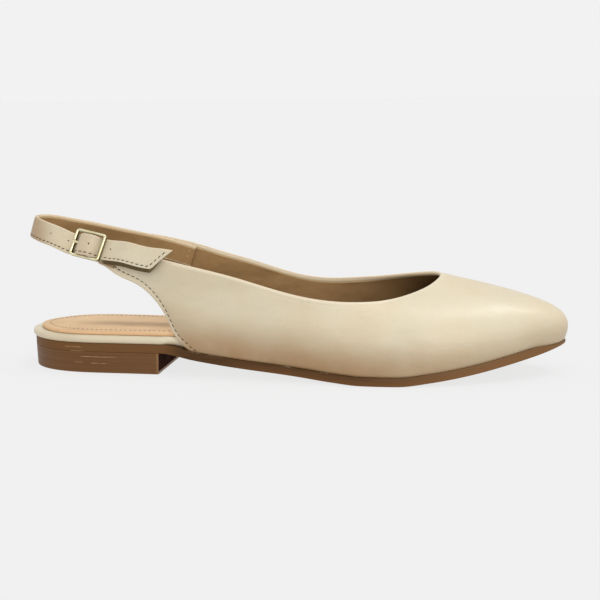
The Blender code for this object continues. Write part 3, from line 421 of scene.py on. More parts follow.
def edges(inset):
    """Rear end, front end and the two sides of the outline moved inward, inset being one number or one
    for each sample. The sides are functions of x."""
    moved = EDGE_POINTS - EDGE_NORMALS * np.reshape(inset, (-1, 1))
    rear = np.argmin(moved[:, 0])
    moved = np.roll(moved[:-1], -rear, axis=0)
    front = np.argmax(moved[:, 0])
    outer = moved[:front + 1]
    inner = np.concatenate([moved[front:], moved[:1]])[::-1]

    def side(line):
        order = np.argsort(line[:, 0], kind="stable")
        return lambda x: np.interp(x, line[order, 0], line[order, 1])

    return moved[0, 0], moved[front, 0], side(outer), side(inner)


tread_height = even_slopes(
    np.array([row.seat * HEEL_LENGTH + row.along * SHOE_LENGTH for row in TREAD.values()]),
    np.array([row.arch * HEEL_HEIGHT + row.spring * TOE_SPRING for row in TREAD.values()]))


def sole_top(x):
    """Top of the outsole, which is thinned towards the tip of the toe."""
    thinning = TOE_THINNING * ease(SHOE_LENGTH - TOE_THINNING_RUN, SHOE_LENGTH, x)
    return tread_height(x) + OUTSOLE_THICKNESS - thinning


# Surface of the upper

def blend(low, high, share):
    return low + (high - low) * share


def top_of(top):
    """Place of a rib's top on the topline."""
    return (
        top.along * SHOE_LENGTH,
        top.across * blend(WAIST_WIDTH, BALL_WIDTH, top.front),
        top.up * blend(QUARTER_HEIGHT, THROAT_HEIGHT, top.front),
    )


def feather(station):
    """Foot points on the feather line and the outward directions there."""
    point, normal = outline(station)
    point = point - normal * FEATHER_INSET
    height = sole_top(point[:, 0]) + GAP
    return np.column_stack([point, height]), np.column_stack([normal, 0 * height])


def foot_of(rib):
    """Place of a rib's foot, on the rear edge or on the feather line."""
    if isinstance(rib.foot, EdgeFoot):
        return np.array([
            rib.foot.along * SHOE_LENGTH, rib.foot.across * WAIST_WIDTH, rib.foot.up * QUARTER_HEIGHT])
    return feather(rib.foot)[0][0]


rib_tops = np.array([top_of(rib.top) for rib in RIBS.values()])
rib_feet = np.array([foot_of(rib) for rib in RIBS.values()])
rib_knots = chord_knots((rib_tops + rib_feet) / 2)
OUTER_CORNER = rib_knots[RIB_NAMES.index("outer_corner")]
INNER_CORNER = rib_knots[RIB_NAMES.index("inner_corner")]
TOE_KNOT = rib_knots[RIB_NAMES.index("toe_tip")]
RIB_RUN = rib_knots[-1]

top_curve = cubic(rib_knots, rib_tops)
bend_curve = cubic(rib_knots, [rib.bend for rib in RIBS.values()])
outer_edge = cubic(rib_knots[rib_knots <= OUTER_CORNER], rib_feet[rib_knots <= OUTER_CORNER])
inner_edge = cubic(rib_knots[rib_knots >= INNER_CORNER], rib_feet[rib_knots >= INNER_CORNER])
station_curve = cubic(
    rib_knots[(rib_knots >= OUTER_CORNER) & (rib_knots <= INNER_CORNER)],
    [rib.foot for rib in RIBS.values() if not isinstance(rib.foot, EdgeFoot)])


def upper_points(knots, shares):
    """Outer surface, a row of points for each knot. shares run from the foot at 0 to the topline at 1."""
    knots = np.atleast_1d(np.asarray(knots, float))
    top = top_curve(knots)
    lean, flare, rise, reach, belly, drop = bend_curve(knots).T[:, :, None]
    foot, outward = feather(station_curve(np.clip(knots, OUTER_CORNER, INNER_CORNER))[:, 0])
    foot = np.where((knots < OUTER_CORNER)[:, None], outer_edge(knots), foot)
    foot = np.where((knots > INNER_CORNER)[:, None], inner_edge(knots), foot)
    plan = (top - foot) * (1, 1, 0)
    height = (top - foot) * (0, 0, 1)
    low = foot + lean * plan + rise * height + outward * flare * BALL_WIDTH
    high = top - reach * plan - drop * height + outward * belly * BALL_WIDTH
    t = np.asarray(shares, float)[..., None]
    foot, low, high, top = (row[:, None, :] for row in (foot, low, high, top))
    rest = 1 - t
    return rest**3 * foot + 3 * rest**2 * t * low + 3 * rest * t**2 * high + t**3 * top


def upper_frame(knots, share):
    """Points at one share for each knot, with the directions along, up and outward there."""
    knots = np.atleast_1d(np.asarray(knots, float))
    share = np.broadcast_to(np.asarray(share, float), knots.shape)[:, None]
    tiny = RIB_RUN * 1e-4
    small = 1e-3
    point = upper_points(knots, share)[:, 0]
    along = upper_points(np.minimum(knots + tiny, RIB_RUN), share) - upper_points(
        np.maximum(knots - tiny, 0), share)
    up = upper_points(knots, np.minimum(share + small, 1)) - upper_points(
        knots, np.maximum(share - small, 0))
    along, up = unit(along[:, 0]), unit(up[:, 0])
    return point, along, up, unit(np.cross(along, up))


def share_at(knot, distance, end="top"):
    """Share of the rib at a distance from the topline or from the foot."""
    shares = np.linspace(0, 1, 120)
    points = upper_points(knot, shares)[0]
    base = points[-1] if end == "top" else points[0]
    away = np.linalg.norm(points - base, axis=1)
    if end == "top":
        return float(np.interp(-distance, -away, shares))
    return float(np.interp(distance, away, shares))


def knot_at_length(along, side):
    """Knot of the outer or inner side where the topline is at a share of SHOE_LENGTH."""
    knots = np.linspace(0 if side == "outer" else RIB_RUN, TOE_KNOT, 400)
    return float(np.interp(along * SHOE_LENGTH, top_curve(knots)[:, 0], knots))


def band_on_upper(knot, top_margin, width, offset):
    """Middle point and upward direction of a band that lies on the upper, offset outward from its outer
    surface to the middle of the band."""
    edge_points = []
    for distance in (max(top_margin, 0.0), max(top_margin, 0.0) + width):
        point, _, _, outward = upper_frame(knot, share_at(knot, distance))
        edge_points.append(point[0] + outward[0] * offset)
    up = unit(edge_points[0] - edge_points[1])
    return (edge_points[0] + edge_points[1]) / 2 - up * min(top_margin, 0.0), up


# Buckle and strap paths

BUCKLE_ALONG = np.array([
    math.cos(BUCKLE_TURN) * math.cos(BUCKLE_SLOPE),
    math.sin(BUCKLE_TURN) * math.cos(BUCKLE_SLOPE),
    math.sin(BUCKLE_SLOPE),
])


def leaned(along, lean):
    """Upward and outward directions across a band that runs along a direction on the outer side."""
    up = np.array([0, 0, 1.0])
    up = unit(up - along * (up @ along))
    out = np.cross(along, up)
    return up * math.cos(lean) - out * math.sin(lean), out * math.cos(lean) + up * math.sin(lean)


BUCKLE_UP, BUCKLE_OUT = leaned(BUCKLE_ALONG, BUCKLE_LEAN)
UNDER_BAR = FRAME_DEPTH / 2 + METAL_GAP + STRAP_THICKNESS / 2
TAB_STACK = GAP + TAB_THICKNESS + GAP + STRAP_THICKNESS / 2
BUCKLE_CENTRE = (
    np.array(top_of(TAB_ROOT))
    - BUCKLE_ALONG * (FRAME_LENGTH / 2 + METAL_GAP)
    - BUCKLE_UP * (STRAP_WIDTH / 2 - STRAP_OVER_QUARTER)
    + BUCKLE_OUT * (TAB_STACK + UNDER_BAR)
)
PRONG_OVER_BAR = FRAME_DEPTH / 2 - NOTCH_DEPTH + METAL_GAP + PRONG_THICKNESS / 2
PRONG_EYE_RADIUS = CENTRE_BAR_RADIUS + METAL_GAP + PRONG_THICKNESS / 2
PRONG_PEAK = max(PRONG_OVER_BAR, PRONG_EYE_RADIUS) + PRONG_THICKNESS / 2
OVER_PRONG = PRONG_PEAK + METAL_GAP + STRAP_THICKNESS / 2


def at_buckle(along, out, up=0.0):
    """Place given in the buckle's own directions from the middle of its frame."""
    return BUCKLE_CENTRE + BUCKLE_ALONG * along + BUCKLE_OUT * out + BUCKLE_UP * up


def strap_rows():
    """Middle points of the strap and its upward directions, from the inner lap to the outer tip."""
    rows = []
    inside = -(UPPER_WALL + GAP + GAP + STRAP_THICKNESS / 2)
    for lap in STRAP_LAP.values():
        knot = knot_at_length(lap.along, "inner")
        rows.append(band_on_upper(knot, lap.below * STRAP_WIDTH, STRAP_WIDTH, inside))
    free = list(STRAP_FREE.values())
    middles = np.array([
        (row.along * SHOE_LENGTH, row.across * HEEL_WIDTH, row.up * STRAP_HEIGHT) for row in free])
    behind = STRAP_WEAVE["behind"].along * FRAME_LENGTH
    joined = np.array([rows[-1][0], *middles, at_buckle(behind, 0)])
    for i, row in enumerate(free, 1):
        up, _ = leaned(unit(joined[i + 1] - joined[i - 1]), math.radians(row.lean))
        rows.append((joined[i], up))
    for row in STRAP_WEAVE.values():
        rise = -UNDER_BAR + row.over * (UNDER_BAR + OVER_PRONG)
        along = row.along * FRAME_LENGTH
        slew = max(along, -FRAME_LENGTH / 2) * STRAP_SLEW - STRAP_DROP
        if row is STRAP_WEAVE["behind"]:
            slew += STRAP_DROP
        rows.append((at_buckle(along, rise, slew), BUCKLE_UP))
    for row in STRAP_FRONT.values():
        knot = knot_at_length(row.along, "outer")
        tiny = SHOE_LENGTH * 1e-3
        run = unit(top_curve(knot + tiny)[0] - top_curve(knot - tiny)[0])
        up, out = leaned(run, math.radians(row.lean))
        rows.append((
            top_curve(knot)[0] + up * row.lift * STRAP_WIDTH + out * row.stand_off * STRAP_WIDTH, up))
    return rows


strap_points = np.array([point for point, _ in strap_rows()])
strap_knots = chord_knots(strap_points)
strap_middle = cubic(strap_knots, strap_points)
strap_up = cubic(strap_knots, [up for _, up in strap_rows()])
STRAP_RUN = strap_knots[-1]
BUCKLE_RUN = strap_knots[len(STRAP_LAP) + len(STRAP_FREE) + list(STRAP_WEAVE).index("centre_bar")]


def strap_frames(runs):
    """Middle points and the forward, upward and outward directions at distances along the strap."""
    runs = np.atleast_1d(np.asarray(runs, float))
    tiny = STRAP_THICKNESS / 10
    forward = unit(strap_middle(runs + tiny) - strap_middle(runs - tiny))
    up = strap_up(runs)
    up = unit(up - forward * (up * forward).sum(-1, keepdims=True))
    return strap_middle(runs), forward, up, np.cross(forward, up)


def prong_height(along):
    """Height of the prong over the frame's middle plane, rising from the centre bar to the rear bar."""
    share = np.clip(-along / (FRAME_LENGTH / 2 - BAR_WIDTH), 0, 1)
    return blend(PRONG_EYE_RADIUS, PRONG_OVER_BAR, share)


# Meshes

def bump(distance, place, width):
    """Smooth bump of height 1 over a distance."""
    return np.exp(-((distance - place) / width) ** 2)


def ripple(points, size, seed):
    """Smooth unevenness from -1 to 1, made of a few waves with fixed directions."""
    random = np.random.default_rng(seed)
    total = np.zeros(points.shape[:-1])
    for _ in range(9):
        direction = unit(random.normal(size=3))
        pace = random.uniform(0.7, 1.5) * 2 * math.pi / size
        total += np.sin(points @ direction * pace + random.uniform(0, 2 * math.pi))
    return total / 5


def ring_faces(rings, count, first=0):
    """Quads between rings of points that close on themselves."""
    i, j = np.meshgrid(np.arange(rings - 1), np.arange(count), indexing="ij")
    a = first + i * count + j
    b = first + i * count + (j + 1) % count
    return np.stack([a, b, b + count, a + count], -1).reshape(-1, 4)


def add_mesh(name, points, faces, materials, face_materials=None, attributes=None, merge=0.0,
             sharp=50):
    """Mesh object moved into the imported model's place, facing outward, riding on the one body."""
    mesh = bpy.data.meshes.new(name)
    mesh.from_pydata((np.asarray(points) - MIDDLE).tolist(), [], [list(map(int, face)) for face in faces])
    for material in materials:
        mesh.materials.append(material)
    if face_materials is not None:
        mesh.polygons.foreach_set("material_index", np.asarray(face_materials, np.int32))
    for key, values in (attributes or {}).items():
        layer = mesh.attributes.new(key, "FLOAT", "POINT")
        layer.data.foreach_set("value", np.asarray(values, np.float32).ravel())
    shape = bmesh.new()
    shape.from_mesh(mesh)
    if merge:
        bmesh.ops.remove_doubles(shape, verts=shape.verts, dist=merge)
    bmesh.ops.recalc_face_normals(shape, faces=shape.faces)
    shape.to_mesh(mesh)
    shape.free()
    mesh.shade_smooth()
    mesh.set_sharp_from_angle(angle=math.radians(sharp))
    obj = bpy.data.objects.new(name, mesh)
    bpy.context.scene.collection.objects.link(obj)
    bpy.context.view_layer.update()
    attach(obj, "root")
    return obj


def applied(obj, modifier):
    """Makes the modified shape the object's own mesh and removes the modifier."""
    bpy.context.view_layer.update()
    made = bpy.data.meshes.new_from_object(obj.evaluated_get(bpy.context.evaluated_depsgraph_get()))
    obj.modifiers.remove(modifier)
    obj.data = made


def placed(right, up, out, point):
    """Matrix with three directions and a place."""
    return Matrix(np.vstack([np.column_stack([right, up, out, point]), (0, 0, 0, 1)]).tolist())


# Materials

class Nodes:
    """Short calls that add and link shader nodes."""

    def __init__(self, name, roughness, metallic=0.0, specular=0.5):
        self.material = bpy.data.materials.new(name)
        self.material.use_nodes = True
        self.tree = self.material.node_tree
        self.shader = self.tree.nodes["Principled BSDF"]
        self.shader.inputs["Roughness"].default_value = roughness
        self.shader.inputs["Metallic"].default_value = metallic
        self.shader.inputs["Specular IOR Level"].default_value = specular
        self.place = self.tree.nodes.new("ShaderNodeTexCoord").outputs["Object"]
        self.height = None

    def node(self, kind, **settings):
        made = self.tree.nodes.new(kind)
        for key, value in settings.items():
            setattr(made, key, value)
        return made

    def link(self, source, target):
        if isinstance(source, (int, float, tuple)):
            target.default_value = source
        else:
            self.tree.links.new(source, target)

    def stretched(self, scale):
        mapping = self.node("ShaderNodeMapping")
        self.link(self.place, mapping.inputs["Vector"])
        mapping.inputs["Scale"].default_value = scale
        return mapping.outputs["Vector"]

    def noise(self, scale, detail=3.0, roughness=0.55, place=None):
        made = self.node("ShaderNodeTexNoise")
        self.link(place or self.place, made.inputs["Vector"])
        made.inputs["Scale"].default_value = scale
        made.inputs["Detail"].default_value = detail
        made.inputs["Roughness"].default_value = roughness
        return made.outputs["Fac"]

    def cells(self, scale):
        made = self.node("ShaderNodeTexVoronoi")
        self.link(self.place, made.inputs["Vector"])
        made.inputs["Scale"].default_value = scale
        return made.outputs["Distance"]

    def stored(self, name):
        return self.node("ShaderNodeAttribute", attribute_name=name).outputs["Fac"]

    def span(self, value, low, high, to_low=0.0, to_high=1.0):
        made = self.node("ShaderNodeMapRange", interpolation_type="SMOOTHSTEP")
        self.link(value, made.inputs["Value"])
        for key, number in (("From Min", low), ("From Max", high), ("To Min", to_low), ("To Max", to_high)):
            made.inputs[key].default_value = number
        return made.outputs["Result"]

    def part(self, axis):
        """One coordinate of the place on the piece."""
        made = self.node("ShaderNodeSeparateXYZ")
        self.link(self.place, made.inputs[0])
        return made.outputs[axis]

    def scratch(self, start, end, height, rise=0.0):
        """Thin mark on the outer side, given in the shoe's own lengths."""
        along, up = self.part("X"), self.part("Z")
        start, end = start - MIDDLE[0], end - MIDDLE[0]
        line = self.math("MULTIPLY_ADD", along, -rise, rise * start - height)
        away = self.math("ABSOLUTE", self.math("ADD", up, line))
        mark = self.span(away, *SCRATCH_HALF, 1.0, 0.0)
        ends = self.math("MULTIPLY", self.span(along, start, start + SCRATCH_START),
                         self.span(along, end - SCRATCH_END, end, 1.0, 0.0))
        outer = self.span(self.part("Y"), *SCRATCH_SIDE, 1.0, 0.0)
        broken = self.span(self.noise(1.0, 3.0, 0.6, self.stretched((350, 350, 5200))), 0.36, 0.56)
        shown = self.math("MULTIPLY", outer, broken)
        return self.math("MULTIPLY", self.math("MULTIPLY", mark, ends), shown)

    def math(self, operation, *sources):
        made = self.node("ShaderNodeMath", operation=operation)
        for source, target in zip(sources, made.inputs):
            self.link(source, target)
        return made.outputs[0]

    def mix(self, share, first, second):
        """Colour between two. The mix node's colour sockets are found by number, as names are shared."""
        made = self.node("ShaderNodeMix", data_type="RGBA")
        for source, number in ((share, 0), (first, 6), (second, 7)):
            self.link(source, made.inputs[number])
        return made.outputs[2]

    def colour(self, source):
        self.link(source, self.shader.inputs["Base Color"])

    def rough(self, source):
        self.link(source, self.shader.inputs["Roughness"])

    def gloss(self, specular, coat):
        """Shine of the finish and of the thin coat over it."""
        self.link(specular, self.shader.inputs["Specular IOR Level"])
        self.link(coat, self.shader.inputs["Coat Weight"])
        self.link(COAT_ROUGHNESS, self.shader.inputs["Coat Roughness"])

    def relief(self, source, depth):
        """Adds a bump of a real depth on top of those before it."""
        made = self.node("ShaderNodeBump")
        made.inputs["Strength"].default_value = 1.0
        made.inputs["Distance"].default_value = depth
        self.link(source, made.inputs["Height"])
        if self.height is not None:
            self.link(self.height, made.inputs["Normal"])
        self.height = made.outputs["Normal"]
        self.link(self.height, self.shader.inputs["Normal"])


# Colours
CREAM = (0.560, 0.500, 0.362, 1)
CREAM_WARM = (0.555, 0.462, 0.315, 1)
CREAM_EDGE = (0.640, 0.565, 0.420, 1)
# Painted shade with a burnished tone, where the leather turns from the light or lies under other parts
SHADE_AND_BURNISH_TONE = (0.300, 0.178, 0.078, 1)
SHADED = (0.380, 0.310, 0.195, 1)
FOLDED_TAN = (0.500, 0.352, 0.190, 1)
# Near black raw edge of the strap, which also paints the shadow under the strap past the buckle
RAW_EDGE_AND_SHADOW = (0.070, 0.046, 0.018, 1)
LINING_LIGHT = (0.300, 0.178, 0.076, 1)
LINING_DARK = (0.205, 0.118, 0.044, 1)
# Painted shade deep inside the lining
LINING_PAINTED_SHADE = (0.070, 0.034, 0.008, 1)
LINING_EDGE = (0.520, 0.385, 0.215, 1)
SOCK_LIGHT = (0.640, 0.435, 0.245, 1)
SOCK_DARK = (0.555, 0.375, 0.205, 1)
SOCK_STREAK = (0.175, 0.092, 0.030, 1)
SOCK_EDGE = (0.640, 0.395, 0.205, 1)
SOCK_GRAIN = (0.360, 0.230, 0.115, 1)
# Painted shade on the sock deep under the vamp
SOCK_PAINTED_SHADE = (0.070, 0.036, 0.012, 1)
SOLE_LIGHT = (0.070, 0.030, 0.007, 1)
SOLE_DARK = (0.048, 0.020, 0.004, 1)
SOLE_TOE = (0.150, 0.075, 0.028, 1)
SOLE_RIM = (0.250, 0.108, 0.032, 1)
SOLE_TREAD = (0.200, 0.110, 0.048, 1)
SOLE_SEAM_SHADOW = (0.030, 0.015, 0.005, 1)
PALE_FLECK = (0.560, 0.480, 0.360, 1)
HEEL_BROWN = (0.130, 0.056, 0.016, 1)
HEEL_LAYER = (0.105, 0.045, 0.012, 1)
HEEL_PATCH = (0.150, 0.068, 0.022, 1)
WORN_EDGE = (0.330, 0.190, 0.090, 1)
# Painted shade of the heel's breast under the arch, over a dark finish
BREAST_LIGHT = (0.042, 0.019, 0.014, 1)
BREAST_DARK = (0.022, 0.011, 0.009, 1)
GOLD = (0.850, 0.780, 0.520, 1)
GOLD_HAZE = (0.640, 0.560, 0.320, 1)
# Painted shade and dark reflection on the sides and back of the frame's bars
SIDE_SHADE_TONE = (0.105, 0.080, 0.026, 1)

# Shine of the cream leather: specular and coat on the finished face and on the raw edge
FACE_SPECULAR, RAW_SPECULAR = 0.46, 0.03
FACE_COAT, RAW_COAT = 0.16, 0.0
COAT_ROUGHNESS = 0.28

# Scratches on the heel's outer side: where they start and end along the shoe, height and slope
SCRATCHES = (
    (0.0265, 0.0364, 0.0104, 0.000),
    (0.0323, 0.0520, 0.0079, -0.006),
    (0.0290, 0.0350, 0.0050, 0.000),
    (0.0375, 0.0480, 0.0047, 0.004),
    (0.0240, 0.0345, 0.0124, 0.010),
)
# They fade across between these half widths, in these lengths at their ends, and to the inner side here
SCRATCH_HALF = (0.00006, 0.00030)
SCRATCH_START = 0.0015
SCRATCH_END = 0.0030
SCRATCH_SIDE = (-0.012, -0.010)


def make_cream(name):
    """Smooth finished calf: fine pores, faint mottling, darker and pinker under painted shade and burnish.
    """
    look = Nodes(name, 0.40)
    base = look.mix(look.span(look.noise(38, 4.0, 0.6), 0.30, 0.72), CREAM, CREAM_WARM)
    clouds = look.noise(1.0, 3.0, 0.55, look.stretched((15, 15, 42)))
    base = look.mix(look.span(clouds, 0.44, 0.72, 0.0, 0.42), base, SHADED)
    # Painted shade and burnish from the stored mask, made patchy
    patchy = look.math("MULTIPLY_ADD", look.noise(70, 3.0), 0.5, 0.5)
    strength = look.math("MULTIPLY", look.stored("burnish"), look.math("ADD", patchy, 0.25))
    base = look.mix(strength, base, SHADE_AND_BURNISH_TONE)
    base = look.mix(look.stored("edge"), base, CREAM_EDGE)
    base = look.mix(look.stored("folded"), base, FOLDED_TAN)
    # Raw edge, near black so that it also paints the shadow under the strap
    base = look.mix(look.stored("raw_and_shadow"), base, RAW_EDGE_AND_SHADOW)
    specks = look.span(look.noise(900, 2.0), 0.60, 0.80, 0.0, 0.28)
    base = look.mix(specks, base, SHADED)
    look.colour(base)
    look.rough(look.span(look.noise(120, 3.0), 0.2, 0.8, 0.36, 0.50))
    raw_and_shadow = look.stored("raw_and_shadow")
    look.gloss(look.span(raw_and_shadow, 0.0, 0.6, FACE_SPECULAR, RAW_SPECULAR),
               look.span(raw_and_shadow, 0.0, 0.6, FACE_COAT, RAW_COAT))
    look.relief(look.noise(1.0, 3.0, 0.55, look.stretched((55, 55, 110))), 0.00045)
    look.relief(look.noise(420, 4.0), 0.00010)
    look.relief(look.span(look.cells(1500), 0.0, 0.5), 0.00004)
    return look.material


def make_lining(name):
    """Matte pigskin lining: lighter at the folded edge, with painted shade deep in the toe and below the
    topline.
    """
    look = Nodes(name, 0.66, specular=0.22)
    base = look.mix(look.span(look.noise(1.0, 4.0, 0.6, look.stretched((30, 30, 75))), 0.32, 0.70),
                    LINING_LIGHT, LINING_DARK)
    # Painted shade where the lining lies deep inside the shoe
    base = look.mix(look.stored("depth"), base, LINING_PAINTED_SHADE)
    base = look.mix(look.stored("edge"), base, LINING_EDGE)
    look.colour(base)
    look.relief(look.noise(260, 4.0), 0.00010)
    look.relief(look.span(look.cells(1100), 0.0, 0.55), 0.00005)
    return look.material


def make_sock(name):
    """Tan sock: rubbed lighter at its edge, with a soft darker streak, and painted shade towards the toe
    under the vamp.
    """
    look = Nodes(name, 0.58, specular=0.35)
    base = look.mix(look.span(look.noise(60, 4.0, 0.6), 0.3, 0.72), SOCK_LIGHT, SOCK_DARK)
    base = look.mix(look.stored("streak"), base, SOCK_STREAK)
    base = look.mix(look.stored("edge"), base, SOCK_EDGE)
    grain = look.noise(1.0, 3.0, 0.6, look.stretched((60, 420, 420)))
    base = look.mix(look.span(grain, 0.5, 0.75, 0.0, 0.35), base, SOCK_GRAIN)
    # Painted shade towards the toe, under the vamp
    base = look.mix(look.stored("depth"), base, SOCK_PAINTED_SHADE)
    look.colour(base)
    look.relief(look.noise(300, 3.0), 0.00009)
    look.relief(look.span(look.cells(1300), 0.0, 0.5), 0.00004)
    return look.material


def make_sole(name):
    """Brown sole leather with a sanded, burnished edge, a lighter lower rim, small pale flecks and a
    painted shadow along the top of its edge under the upper.
    """
    look = Nodes(name, 0.50, specular=0.16)
    fibres = look.noise(1.0, 4.0, 0.6, look.stretched((90, 90, 900)))
    base = look.mix(look.span(fibres, 0.3, 0.7), SOLE_LIGHT, SOLE_DARK)
    base = look.mix(look.stored("heel"), base, HEEL_BROWN)
    base = look.mix(look.stored("toe"), base, SOLE_TOE)
    base = look.mix(look.math("MULTIPLY", look.stored("rim"), 0.60), base, SOLE_RIM)
    base = look.mix(look.stored("tread"), base, SOLE_TREAD)
    # Painted shadow along the top of the edge, where the upper meets the sole
    base = look.mix(look.math("MULTIPLY", look.stored("seam"), 0.55), base, SOLE_SEAM_SHADOW)
    flecks = look.math("MULTIPLY", look.span(look.noise(420, 3.0), 0.38, 0.55), look.stored("fleck"))
    base = look.mix(flecks, base, PALE_FLECK)
    for row in SCRATCHES:
        base = look.mix(look.scratch(*row), base, WORN_EDGE)
    look.colour(base)
    look.rough(look.span(look.noise(80, 3.0), 0.2, 0.8, 0.44, 0.60))
    look.relief(fibres, 0.00008)
    look.relief(look.noise(500, 3.0), 0.00006)
    return look.material


def make_stack(name):
    """Stacked heel: thin layers and light wear along the joints; the breast has its own material of painted
    shade.
    """
    look = Nodes(name, 0.46, specular=0.22)
    layers = look.noise(1.0, 2.0, 0.5, look.stretched((10, 10, 850)))
    base = look.mix(look.span(layers, 0.30, 0.70), HEEL_BROWN, HEEL_LAYER)
    base = look.mix(look.span(look.noise(30, 3.0), 0.4, 0.75, 0.0, 0.4), base, HEEL_PATCH)
    base = look.mix(look.stored("worn"), base, WORN_EDGE)
    for row in SCRATCHES:
        base = look.mix(look.scratch(*row), base, WORN_EDGE)
    look.colour(base)
    look.relief(layers, 0.00006)
    look.relief(look.noise(420, 3.0), 0.00004)
    return look.material


def make_breast(name):
    """Front face of the heel, very dark and matt: painted shade under the arch over a dark breast finish.
    """
    look = Nodes(name, 0.95, specular=0.0)
    look.colour(look.mix(look.span(look.noise(300, 3.0), 0.35, 0.70), BREAST_LIGHT, BREAST_DARK))
    look.relief(look.noise(500, 3.0), 0.00004)
    return look.material


def make_gold(name):
    """Pale gold plate, polished, with a faint uneven haze and painted shade and dark reflection on the
    sides of the bars.
    """
    look = Nodes(name, 0.20, metallic=1.0)
    base = look.mix(look.span(look.noise(220, 3.0), 0.35, 0.75), GOLD, GOLD_HAZE)
    look.colour(look.mix(look.stored("side_shade"), base, SIDE_SHADE_TONE))
    look.rough(look.span(look.noise(500, 3.0), 0.2, 0.8, 0.14, 0.30))
    look.relief(look.noise(900, 2.0), 0.00001)
    return look.material


def make_thread(name, colour, darker):
    """Waxed thread with a faint twist."""
    look = Nodes(name, 0.70, specular=0.25)
    twist = look.noise(2600, 2.0)
    look.colour(look.mix(look.span(twist, 0.35, 0.65), colour, darker))
    look.relief(twist, 0.00005)
    return look.material


cream = make_cream("cream_calf")
lining = make_lining("tan_lining_leather")
sock_tan = make_sock("tan_sock_leather")
sole_brown = make_sole("brown_sole_leather")
stack_brown = make_stack("brown_stacked_leather")
breast_shade = make_breast("heel_breast_painted_shade")
gold = make_gold("pale_gold_plate")
dark_thread = make_thread("olive_brown_thread", (0.075, 0.052, 0.026, 1), (0.036, 0.025, 0.013, 1))
light_thread = make_thread("light_tan_thread", (0.560, 0.400, 0.210, 1), (0.400, 0.270, 0.130, 1))
sock_thread = make_thread("brown_sock_thread", (0.150, 0.086, 0.038, 1), (0.085, 0.048, 0.020, 1))


# Upper

UPPER_STEP = 0.0011
OUTER_ROWS = 64
ROLL = np.radians([30, 60, 90, 120, 150])
END_TURNS = np.radians([90, 60, 30])
# How far each point over the rolled edge shows the tan of the fold
ROLLED_TAN = (0.15, 0.35, 0.60, 0.75, 0.85)

# Small forms of the outer surface: how far they rise or dip, and how wide they are
EDGE_ROLL_RISE, EDGE_ROLL_WIDTH = 0.00012, 0.0007
CHANNEL_DIP, CHANNEL_WIDTH = 0.00022, 0.00045
PUCKER_RISE, PUCKER_WIDTH, PUCKER_PITCH = 0.00003, 0.0012, 0.0030
TOP_ROLL_RISE, TOP_ROLL_PLACE, TOP_ROLL_WIDTH = 0.00007, 0.0002, 0.0008
FOLD_DIP, FOLD_DIP_WIDTH = 0.00010, 0.0006
TOP_WAVE_RISE, TOP_WAVE_SIZE, TOP_WAVE_REACH = 0.00010, 0.011, 0.006
SOFT_WAVE_RISE, SOFT_WAVE_SIZE = 0.00014, 0.032

# Where the rear edge's roll and its stitch line run out past the corner at the sole
EDGE_RUN_OUT, STITCH_RUN_OUT = (-0.001, 0.0045), (-0.0015, 0.0035)
STITCH_END_GAP = 0.0002

# Painted shade and burnish of the upper over the sole: its height, its strength and where it changes along
# the shoe
SHADE_BURNISH_WAIST_REACH, SHADE_BURNISH_TOE_REACH = 0.024, 0.017
SHADE_BURNISH_WAIST, SHADE_BURNISH_TOE = 0.95, 0.44
SHADE_BURNISH_CHANGE = (0.150, 0.245)
STITCH_PALER = 0.6
# Painted shade at the end of the outer tab under the buckle: strength and run
TAB_SHADE, TAB_SHADE_RUN = 0.55, 0.010

# Paler edges, and where painted shade darkens the lining towards the toe and below the topline
TOP_EDGE, TOP_EDGE_WIDTH = 0.75, 0.0008
REAR_EDGE, REAR_EDGE_PLACE, REAR_EDGE_WIDTH = 0.35, 0.0005, 0.0010
REAR_EDGE_FADE_START, REAR_EDGE_FADE_END = 0.009, 0.001
FOLD_SOFTNESS = 0.0004
LINING_SHADE_ALONG = (0.165, 0.215)
LINING_SHADE_DOWN = (0.002, 0.016)


def past_corner(knots):
    """Distance along the ribs past the corner where the quarter's rear edge meets the sole."""
    near = np.minimum(knots, RIB_RUN - knots)
    return near - np.where(knots < RIB_RUN / 2, OUTER_CORNER, RIB_RUN - INNER_CORNER)


def rear_stitch_distance(knots):
    """Distance of the rear edge's stitch line from the rib's foot. It runs out at the sole."""
    return blend(EDGE_STITCH, STITCH_END_GAP, ease(*STITCH_RUN_OUT, past_corner(knots)))


def upper_relief(points, from_top, from_foot, knots):
    """Small forms of the outer surface: folded edges, the stitched channel, puckers and soft waves."""
    at_edge = 1 - ease(*EDGE_RUN_OUT, past_corner(knots))[:, None]
    stitch = rear_stitch_distance(knots)[:, None]
    relief = at_edge * (EDGE_ROLL_RISE * bump(from_foot, stitch * 0.45, EDGE_ROLL_WIDTH)
                        - CHANNEL_DIP * bump(from_foot, stitch, CHANNEL_WIDTH))
    pucker = np.sin(knots / PUCKER_PITCH * 2 * math.pi)[:, None] * bump(from_foot, stitch, PUCKER_WIDTH)
    relief = relief + PUCKER_RISE * at_edge * pucker
    relief = relief + TOP_ROLL_RISE * bump(from_top, TOP_ROLL_PLACE, TOP_ROLL_WIDTH)
    relief = relief - FOLD_DIP * bump(from_top, FOLD_WIDTH, FOLD_DIP_WIDTH)
    waves = ripple(points, TOP_WAVE_SIZE, 5) * np.exp(-from_top / TOP_WAVE_REACH)
    return relief + TOP_WAVE_RISE * waves + SOFT_WAVE_RISE * ripple(points, SOFT_WAVE_SIZE, 8)


